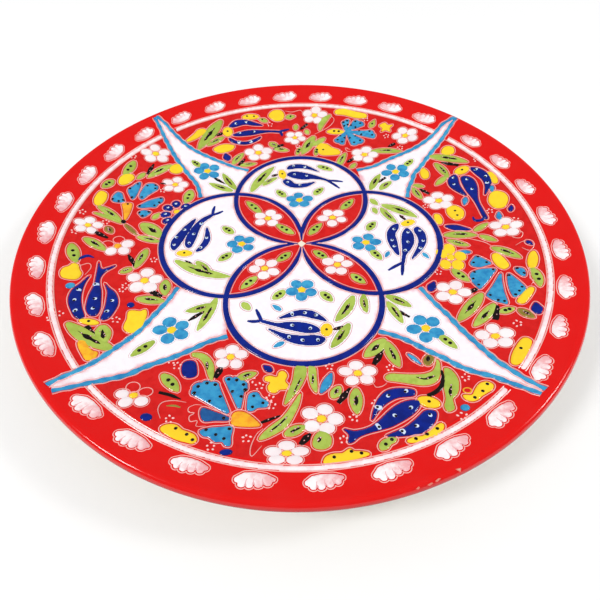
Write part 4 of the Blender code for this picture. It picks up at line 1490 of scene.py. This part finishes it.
def draw_daisies_west():
    """Daisies of the west field."""
    blooms = Piece("daisies_west")
    daisy(blooms, -95, 76.5, 9.5, 100)
    daisy(blooms, -79, 50, 8.5, 80)
    daisy(blooms, -121.5, 7.5, 8, 90)
    daisy(blooms, -83, -30.5, 9.8, 90, 0.95)
    daisy(blooms, -102.5, -6, 8.6, 100, 0.95, heart=ORANGE, bare=(0, 1))
    blooms.build(slot="white_glaze")


def draw_tulip_west():
    """The tulip of the west field."""
    flower = Piece("tulip_west")
    tulip(flower, [[(-110.8, -29.8), (-111.6, -35.2), (-111.5, -40.7), (-110.5, -46.3), (-108.5, -51.9),
        (-105.9, -57), (-105.7, -58.8), (-107.2, -59.8), (-109.8, -58.6), (-112, -55.7), (-114.8, -51),
        (-116.3, -46.4), (-116.3, -41.7), (-115.2, -38.6), (-113.5, -35.3), (-112.3, -32.2)],
        [(-109.3, -18.8), (-107.6, -22.8), (-106, -24.3), (-103.5, -22.8), (-100.3, -20.6),
        (-100.8, -22.3), (-104, -26), (-105.4, -30.5), (-104.8, -34.5), (-102.7, -40), (-101.1, -46.4),
        (-100, -52), (-100.5, -56), (-102.3, -57), (-104.1, -56.3), (-106.2, -53.2), (-107.2, -49),
        (-107.7, -42.6), (-107.2, -36), (-107.8, -31), (-108.4, -26)], [(-102.6, -34), (-99.5, -37),
        (-96.1, -39.7), (-93.6, -43.8), (-92.5, -48.3), (-93.1, -53), (-94.3, -57.1), (-96.4, -58.9),
        (-98.2, -58), (-98.1, -54), (-98.2, -49.5), (-98.8, -45), (-99.6, -40.4), (-101, -37.2)]],
        [(-113.3, -41), (-112.8, -48.2), (-110.3, -54.8), (-106.1, -36), (-103.9, -45.9), (-103.1, -52.3),
        (-95.6, -46.2), (-96.1, -53.4)], (-102.6, -60.8, 9.6, 3.9, -5))
    flower.build("field_tulip_west", slot="cobalt_glaze")


def draw_carnation_flower_west():
    """The carnation of the west field."""
    fan = Piece("carnation_flower_west")
    blot(fan, [(-113, 29.8), (-113.9, 32), (-113.4, 35.6), (-111.8, 38.2), (-109.3, 37.6), (-108, 34.6),
        (-106.6, 30.4), (-110.5, 29.4)], TURQUOISE, [(-113.2, 31.4), (-109.6, 30.4), (-107.4, 31.6)])
    blot(fan, [(-103.6, 35), (-106.1, 39.5), (-106.2, 42.7), (-104.5, 44.9), (-102.6, 47.9),
        (-100.5, 49.5), (-99.7, 46), (-100.2, 40.9), (-101, 35.8), (-102.4, 33.4)], TURQUOISE,
        [(-105.2, 42.2), (-101.5, 47), (-102.8, 35)])
    blot(fan, [(-98, 34.9), (-99, 38.8), (-97.4, 46.2), (-95.4, 49), (-91.9, 49.4), (-89.2, 47.3),
        (-89, 44.9), (-90.8, 42.2), (-93.7, 38.7), (-96.3, 34.7)], TURQUOISE, [(-95.6, 46.4),
        (-90.9, 47.6), (-90.6, 44.8), (-97.2, 36)])
    blot(fan, [(-98.2, 27.8), (-96.3, 30.4), (-92.7, 33.9), (-88.9, 36.2), (-85.5, 37.6), (-84.1, 35.5),
        (-84.7, 33), (-86.4, 31), (-87.7, 28.4), (-90.9, 28), (-95.6, 26.9)], TURQUOISE, [(-85.8, 36.2),
        (-86.2, 32.6), (-88.6, 29.6), (-97, 28.2)])
    blot(fan, [(-96.9, 22.5), (-95.6, 24.6), (-93.6, 25.3), (-89.8, 24.2), (-91.3, 20.8), (-93.8, 18.9),
        (-95.3, 20.3)], TURQUOISE, [(-91, 23.6), (-93.9, 20), (-96, 22.6)])
    blot(fan, [(-107.4, 28.8), (-104.5, 30), (-101.8, 29.6), (-101.4, 24), (-102.3, 17), (-103.6, 15.5),
        (-104.6, 19), (-105.8, 23.5)], ORANGE, [(-104, 28.6)])
    fan.build("carnation_west", slot="turquoise_glaze")


def draw_blue_flower_west():
    """The blue flower of the west field."""
    petals = Piece("blue_flower_west")
    for px, py, turn in ((-75.9, 32.2, 95), (-80.2, 28.4, 150), (-80.8, 22.6, 195),
                         (-78.8, 17.3, 215), (-69.8, 30.4, 40)):
        outlined(petals, COBALT, oval(px, py, 3.1, 2.6, turn), high=0.7, soft=1.5)
        eye(petals, px, py, 0.95, turn)
    outlined(petals, YELLOW, oval(-74.5, 25.5, 2, 2, 0), wide=0.6, soft=1.2)
    petals.build(slot="cobalt_glaze")


def draw_leaves_west():
    """Leaves of the west field."""
    greens = Piece("leaves_west")
    leaf(greens, (-83.5, 68), (-97, 54), 4.6, -1.2)
    leaf(greens, (-99, 58), (-103, 51.5), 3.0, mark=None)
    leaf(greens, (-107, 67), (-111.5, 53), 5.0, 1.0, "dots")
    leaf(greens, (-116, 47.5), (-121, 39.5), 4.6, mark="dots")
    leaf(greens, (-68.7, 45.6), (-70.5, 33), 5.6, 0.8, "dots")
    leaf(greens, (-120, 24), (-104.5, 13.5), 4.4, 1.2)
    leaf(greens, (-121, 18), (-104, 12), 2.6, 2.0, mark=None)
    leaf(greens, (-93.5, 13.5), (-79.2, 2.8), 7.4, 0.8)
    leaf(greens, (-93.5, 2.6), (-79.4, -1), 3.8, 0.5)
    leaf(greens, (-102.5, 12), (-93.5, 3.6), 2.4, mark=None, body=OLIVE)
    bud(greens, -86, 21, 5.5, 3.8, 60, GREEN)
    leaf(greens, (-112, 8.5), (-107.5, 3.5), 3.8, body=OLIVE)
    leaf(greens, (-121, -3), (-107.5, -10.5), 4.8, 0.8)
    frond(greens, [(-86.2, -6.5), (-84.8, -10), (-85.6, -15), (-88, -20.4), (-90.2, -22), (-90.9, -19.5),
        (-90.4, -14), (-88.8, -9)], [(-87.6, -11), (-88.8, -17)], bold=2.0)
    leaf(greens, (-91, -22), (-97, -26), 3.6)
    leaf(greens, (-125.8, -8.6), (-119.6, -22.4), 5.4, -0.4, "dots")
    leaf(greens, (-72, -29.5), (-70.3, -40.6), 5.2, -0.5)
    leaf(greens, (-84.4, -43.4), (-69.3, -44.8), 4.8, 0.6)
    leaf(greens, (-111.5, -63), (-86, -77), 6.6, -2.4)
    leaf(greens, (-95.8, -62), (-91.6, -73.4), 6.6, -1.2)
    greens.build(slot="white_glaze")


def draw_buds_west():
    """Buds, stems and other small marks of the west field."""
    small = Piece("buds_west")
    blot(small, [(-113, 50.5), (-110.8, 54.2), (-106.5, 55.2), (-104.5, 52.5), (-105.5, 49.5),
        (-107.5, 46.5), (-110.5, 44.6), (-112.8, 46)])
    blot(small, [(-121.5, 36.5), (-117.5, 35.5), (-116.8, 30), (-118.8, 24.5), (-122, 25), (-123.3, 30)])
    blot(small, [(-84.5, 66), (-81, 69.5), (-76.5, 68.5), (-75.5, 64), (-79, 60.5), (-83.5, 61.5)])
    blot(small, [(-121.3, -22.7), (-118.5, -23), (-116.9, -26.5), (-115.2, -29), (-115.5, -32.4),
        (-117.3, -34.1), (-120.5, -34.3), (-123.4, -33.6), (-125, -30.3), (-124.6, -27), (-122.5, -25)])
    blot(small, [(-86.5, -52.3), (-84, -51.2), (-80.9, -51.5), (-78.5, -50.2), (-77.1, -53), (-77, -57.5),
        (-76.7, -61), (-77.9, -64), (-80.4, -65.8), (-83.2, -65.8), (-85.9, -63.6), (-86.4, -60.5),
        (-86, -57)])
    blot(small, [(-103.6, -73.6), (-102.2, -72), (-99.8, -72.6), (-98, -76), (-95.7, -78), (-93.5, -78.5),
        (-93.2, -81.3), (-94.7, -83.5), (-97, -83.8), (-99.6, -80.8), (-102.4, -76.8)], ORANGE)
    dot(small, TURQUOISE, -117.8, -38.6, 2.2, 0.1, 1.1, 30, 0.65)
    dot(small, COBALT, -86.3, -47.8, 1.9, 0.1, 1.1, 140, 0.65)
    stroke(small, COBALT, curve([(-119.8, -20.2), (-117.8, -17.2), (-115.5, -15.8), (-112.4, -16.6)],
        False, 0.5), 2.2, 0.6, taper=(0.4, 0.4))
    stem(small, (-95, 67), (-97.5, 57))
    stem(small, (-109, -0.5), (-117, 3.2), 2.8)
    dot(small, BLACK, -103.6, 13.8, 1.4, 0.4, 1.2, 120)
    stem(small, (-88.5, 50.4), (-85, 50.2), 1.6)
    stem(small, (-95.5, -12), (-89.5, -20.8))
    stem(small, (-80.2, -37.2), (-71.8, -41.2), 3.0)
    stem(small, (-95.4, -72.2), (-102.9, -63.6), 3.0)
    vine(small, [(-105, 13), (-98, 8), (-92, 4), (-86, 3)])
    vine(small, [(-122, -28), (-114.5, -21.5), (-112, -24), (-113.4, -30)])
    for x, y in ((-113, 12), (-81, -15), (-117, -58), (-108, 71), (-127, 17), (-86, 44),
                 (-93, 58), (-127, 1), (-93, -38), (-91, -58), (-92, -35), (-119, -62)):
        spray(small, x, y)
    small.build(slot="red_glaze")


def make_field_west():
    """Everything painted in the west field."""
    draw_daisies_west()
    draw_tulip_west()
    draw_carnation_flower_west()
    draw_blue_flower_west()
    draw_leaves_west()
    draw_buds_west()


LENS_LEAVES = {
    "northeast": ((20.5, 19.7), [((6, 5), (14, 15)), ((26, 27), (34.5, 36.5))]),
    "northwest": ((-18.7, 19.8), [((-3, 6), (-14, 15)), ((-23, 24), (-33, 36))]),
    "southwest": ((-19.2, -21), [((-5, -9), (-13, -16)), ((-23, -27), (-31.5, -36))]),
    "southeast": ((21, -19), [((8, -8), (16, -15)), ((28, -26), (35.5, -33))]),
}


def make_lens_flowers():
    """One flower in each red lens."""
    for name, ((x, y), pairs) in LENS_LEAVES.items():
        piece = Piece("lens_flower_" + name)
        daisy(piece, x, y, 9.3, 45 if name in ("northeast", "southwest") else 80)
        for number, (start, end) in enumerate(pairs):
            leaf(piece, start, end, 4.6, 0.5 * (-1) ** number, "dots")
        piece.build(slot="white_glaze")


SPIKE_FLOWERS = {
    "northeast": ((64, 61), [((46, 44.5), (54, 60)), ((52, 44.5), (60.5, 52))], ((51, 51), (57, 56)),
                  ((70, 65), (77, 71.5))),
    "northwest": ((-60, 64.5), [((-40, 47), (-50, 63)), ((-42, 45.5), (-58, 53))],
                  ((-47, 52), (-55, 58)), ((-65, 68.5), (-71.5, 74))),
    "southwest": ((-63.2, -63), [((-44, -46), (-58.5, -51)), ((-43.5, -42), (-51, -63.5))],
                  ((-47, -49), (-56, -57)), ((-70, -70), (-79, -80))),
    "southeast": ((61.5, -64), [((45, -42), (57, -50)), ((45, -46), (51, -60.5))],
                  ((48, -51), (55, -56.5)), ((66.5, -68), (73.5, -77.5))),
}


def make_spike_flowers():
    """One flower in each white spike."""
    for name, ((x, y), leaves, line, tip) in SPIKE_FLOWERS.items():
        piece = Piece("spike_flower_" + name)
        daisy(piece, x, y, 9.4, 40, 0.95, petal=TURQUOISE, line=ROSE_LINE)
        for start, end in leaves:
            leaf(piece, start, end, 4.4, 0.8, "stroke", ROSE_LINE)
        leaf(piece, *tip, 4.0, 0.0, "dots", ROSE_LINE)
        stem(piece, *line)
        piece.build(slot="turquoise_glaze")


MEDALLION_BLOSSOMS = {
    "north": ((0.5, 36.2), [((-8, 39.5), (-14, 46.5)), ((10, 41), (16, 48))]),
    "east": ((38.5, -2), [((40.5, 8), (46, 15.5)), ((40.5, -8), (46, -16))]),
    "south": ((1, -36.8), [((-8, -37), (-14.5, -43)), ((11, -38.5), (17, -45))]),
    "west": ((-33.2, -1.8), [((-38.5, 7), (-45.5, 13)), ((-38.5, -9), (-45.5, -15))]),
}


def medallion_greens(side):
    """A small daisy between the circles with its leaves, still to be added to."""
    (x, y), pairs = MEDALLION_BLOSSOMS[side]
    piece = Piece("medallion_blossom_" + side)
    daisy(piece, x, y, 8.8, {"north": 90, "east": 0, "south": -90, "west": 180}[side],
          petal=TURQUOISE, line=ROSE_LINE)
    for start, end in pairs:
        leaf(piece, start, end, 4.4, 0.4, "dots", ROSE_LINE)
    return piece


def draw_medallion_blossom_north():
    """The blossom and its leaves of the north ground."""
    greens = medallion_greens("north")
    leaf(greens, (-30, 45), (-16, 70), 5.6, 2.5, "stroke", ROSE_LINE)
    leaf(greens, (-23, 51), (-13.5, 59), 3.6, 1.0, "stroke", ROSE_LINE)
    leaf(greens, (13, 70), (23, 65), 4.0, 0.6, "dots", ROSE_LINE)
    stem(greens, (-18, 60), (-13.5, 62))
    greens.build(slot="turquoise_glaze")


def draw_medallion_tulip_flower_north():
    """The tulip of the north ground."""
    flower = Piece("medallion_tulip_flower_north")
    medallion_tulip(flower, [[(-7, 67), (-6, 70.8), (0, 72.2), (6, 70.7), (14, 64), (6.5, 67), (0, 68)],
        [(-7.5, 61.5), (-5, 64.3), (0, 64.5), (8, 62), (15, 58.5), (20, 55.5), (19.5, 53.8), (15, 56),
        (9, 56.8), (3, 56.5), (-4, 58.5)], [(-10, 54), (-8.5, 57), (-5, 56), (-2, 52.5), (4, 52.5),
        (11, 53.8), (6, 49.5), (0, 48.3), (-6, 49.5)]], [(-3, 70), (4.5, 69), (-2.5, 61.3), (5.5, 59.8),
        (-7, 53.5), (1, 50.5)], (-10.5, 62, 9.5, 5, 100), [[(19, 55), (24, 54.5), (29, 53.5)], [(19, 55),
        (23, 51), (26.5, 47)]])
    flower.build("medallion_tulip_north", slot="cobalt_glaze")


def draw_medallion_blossom_east():
    """The blossom and its leaves of the east ground."""
    greens = medallion_greens("east")
    leaf(greens, (51.5, 30), (71.5, 17.5), 5.4, 2.0, "stroke", ROSE_LINE)
    leaf(greens, (50.5, 27.5), (58.5, 13.5), 4.2, -1.0, "stroke", ROSE_LINE)
    leaf(greens, (45, 36), (49, 30), 3.4, 0, None, ROSE_LINE)
    leaf(greens, (46, 28), (47.5, 22), 3.0, 0, None, ROSE_LINE)
    stem(greens, (61, 20.5), (64, 16))
    greens.build(slot="turquoise_glaze")


def draw_medallion_tulip_flower_east():
    """The tulip of the east ground."""
    flower = Piece("medallion_tulip_flower_east")
    medallion_tulip(flower, [[(59, 13), (55, 11.3), (51.8, 6), (51.2, -1), (53, -8), (56, -13),
        (56.6, -3), (56.3, 4), (58.8, 9)], [(61, 6), (64, 9), (66.5, 4), (66, -3), (63, -9), (60, -13),
        (58, -19.5), (56.5, -19), (58, -12), (58.8, -5), (59.5, 1)], [(67.5, 7), (70, 9.7), (73.2, 5),
        (73.2, -2), (70, -8.5), (62.5, -16.5), (67.6, -6), (68.8, 0)]], [(56, 8), (53.7, -1), (54.3, -6),
        (63.7, 5), (62.5, -3), (60, -9.5), (70.8, 6), (71.2, -2.5), (68.6, -8.2)], (65, 13.3, 9, 5, 20),
        [[(57.3, -18.5), (53, -21), (48.5, -24)], [(57.3, -18.5), (56.5, -23), (55.5, -28)]])
    bud(flower, 49.5, -12, 4.5, 2.4, 240, TURQUOISE, ROSE_LINE)
    bud(flower, 70.8, -14, 4.5, 2.4, 300, TURQUOISE, ROSE_LINE)
    flower.build("medallion_tulip_east", slot="cobalt_glaze")


def draw_medallion_blossom_south():
    """The blossom and its leaves of the south ground."""
    greens = medallion_greens("south")
    leaf(greens, (28, -41.5), (17.5, -58), 5.0, 2.0, "stroke", ROSE_LINE)
    leaf(greens, (24.5, -59.5), (14.5, -74), 4.6, 0.8, "stroke", ROSE_LINE)
    leaf(greens, (33.5, -40.5), (34, -53), 3.8, -1.2, "stroke", ROSE_LINE)
    leaf(greens, (-30, -45), (-25.5, -50), 3.6, 0, None, ROSE_LINE)
    stem(greens, (15.5, -63), (22, -61.5))
    greens.build(slot="turquoise_glaze")


def draw_medallion_tulip_flower_south():
    """The tulip of the south ground."""
    flower = Piece("medallion_tulip_flower_south")
    medallion_tulip(flower, [[(-11, -55.5), (-5, -51.8), (0, -50.3), (7, -51.3), (13.5, -57.5),
        (6.5, -55.8), (0, -54), (-6, -55)], [(-12, -58.3), (-6, -57.8), (2, -58.3), (8, -60.8),
        (9.5, -64), (3, -64.7), (-5, -62.7), (-12, -60.5), (-20, -57.6), (-20, -56)], [(-16.5, -61.5),
        (-8, -64.8), (0, -66.2), (8, -66.2), (12.2, -68.5), (9, -71.8), (1, -71.8), (-7, -69)]],
        [(-4, -52.9), (2.5, -52.4), (8, -54), (-4, -60.2), (5, -62.2), (-5.5, -67.3), (1, -69.3),
        (8.5, -69.3)], (13, -63, 8, 6, 80), [[(-19.5, -56.8), (-21, -53), (-22.5, -49.5)],
        [(-19.5, -56.8), (-23, -57.3), (-26.5, -57)]])
    bud(flower, -12, -48.5, 5, 2.6, 140, TURQUOISE, ROSE_LINE)
    bud(flower, -10.5, -71.5, 5, 2.6, 210, TURQUOISE, ROSE_LINE)
    flower.build("medallion_tulip_south", slot="cobalt_glaze")


def draw_medallion_blossom_west():
    """The blossom and its leaves of the west ground."""
    greens = medallion_greens("west")
    leaf(greens, (-69, -15), (-37, -27), 5.4, -4.5, "stroke", ROSE_LINE)
    leaf(greens, (-57.5, -15.5), (-47.5, -26.5), 4.2, 0.8, "stroke", ROSE_LINE)
    stem(greens, (-64, -14.5), (-58, -20))
    greens.build(slot="turquoise_glaze")


def draw_medallion_tulip_flower_west():
    """The tulip of the west ground."""
    flower = Piece("medallion_tulip_flower_west")
    medallion_tulip(flower, [[(-72.8, -6), (-73.8, 0), (-70.5, 8), (-66.5, 15), (-62, 19.5), (-66, 5),
        (-70, -6)], [(-66, 1), (-65, -4), (-62, -4.5), (-60, 3), (-59, 10), (-57, 16.5), (-52, 22.3),
        (-53, 24), (-58.5, 20), (-62.5, 14), (-65, 7)], [(-55, 12.5), (-52.3, 6), (-52, 0), (-55, -6.3),
        (-59, -7.8), (-57, -3), (-55.3, 3)]], [(-71.7, -3), (-71.2, 3), (-67.5, 9.5), (-63.3, -1.5),
        (-61.7, 6), (-58.5, 15), (-56.3, -5), (-53.8, 3)], (-65, -9.3, 9, 5, 0), [[(-52.5, 23),
        (-52.5, 27), (-52, 31)], [(-52.5, 23), (-49.5, 24.5), (-46.5, 26.5)]])
    flower.build("medallion_tulip_west", slot="cobalt_glaze")


def make_medallion_flowers():
    """The blossoms and tulips of the four white grounds."""
    draw_medallion_blossom_north()
    draw_medallion_tulip_flower_north()
    draw_medallion_blossom_east()
    draw_medallion_tulip_flower_east()
    draw_medallion_blossom_south()
    draw_medallion_tulip_flower_south()
    draw_medallion_blossom_west()
    draw_medallion_tulip_flower_west()


def medallion_tulip(piece, parts, eyes, calyx, tails):
    """A tulip on the white ground, with rose lines."""
    for part in parts:
        outlined(piece, COBALT, curve(part), ROSE_LINE, high=0.75, soft=1.6)
    for x, y in eyes:
        eye(piece, x, y, 1.25, 90 * ((x + y) % 4))
    x, y, long, wide, turn = calyx
    outlined(piece, YELLOW, oval(x, y, long / 2, wide / 2, turn), ROSE_LINE, high=0.7, soft=1.4)
    dot(piece, BLACK, x, y, 0.75, 0.6)
    for line in tails:
        stroke(piece, COBALT, curve(line, False, 0.5), 2.4, 0.6, taper=(0.9, 0.6))


make_body()
make_rim()
make_glints_and_chips()
make_fields()
make_medallion()
make_spikes()
make_ring()
make_clouds()
make_field_north()
make_field_east()
make_field_south()
make_field_west()
make_lens_flowers()
make_spike_flowers()
make_medallion_flowers()
make_wire()
make_camera()
make_room()
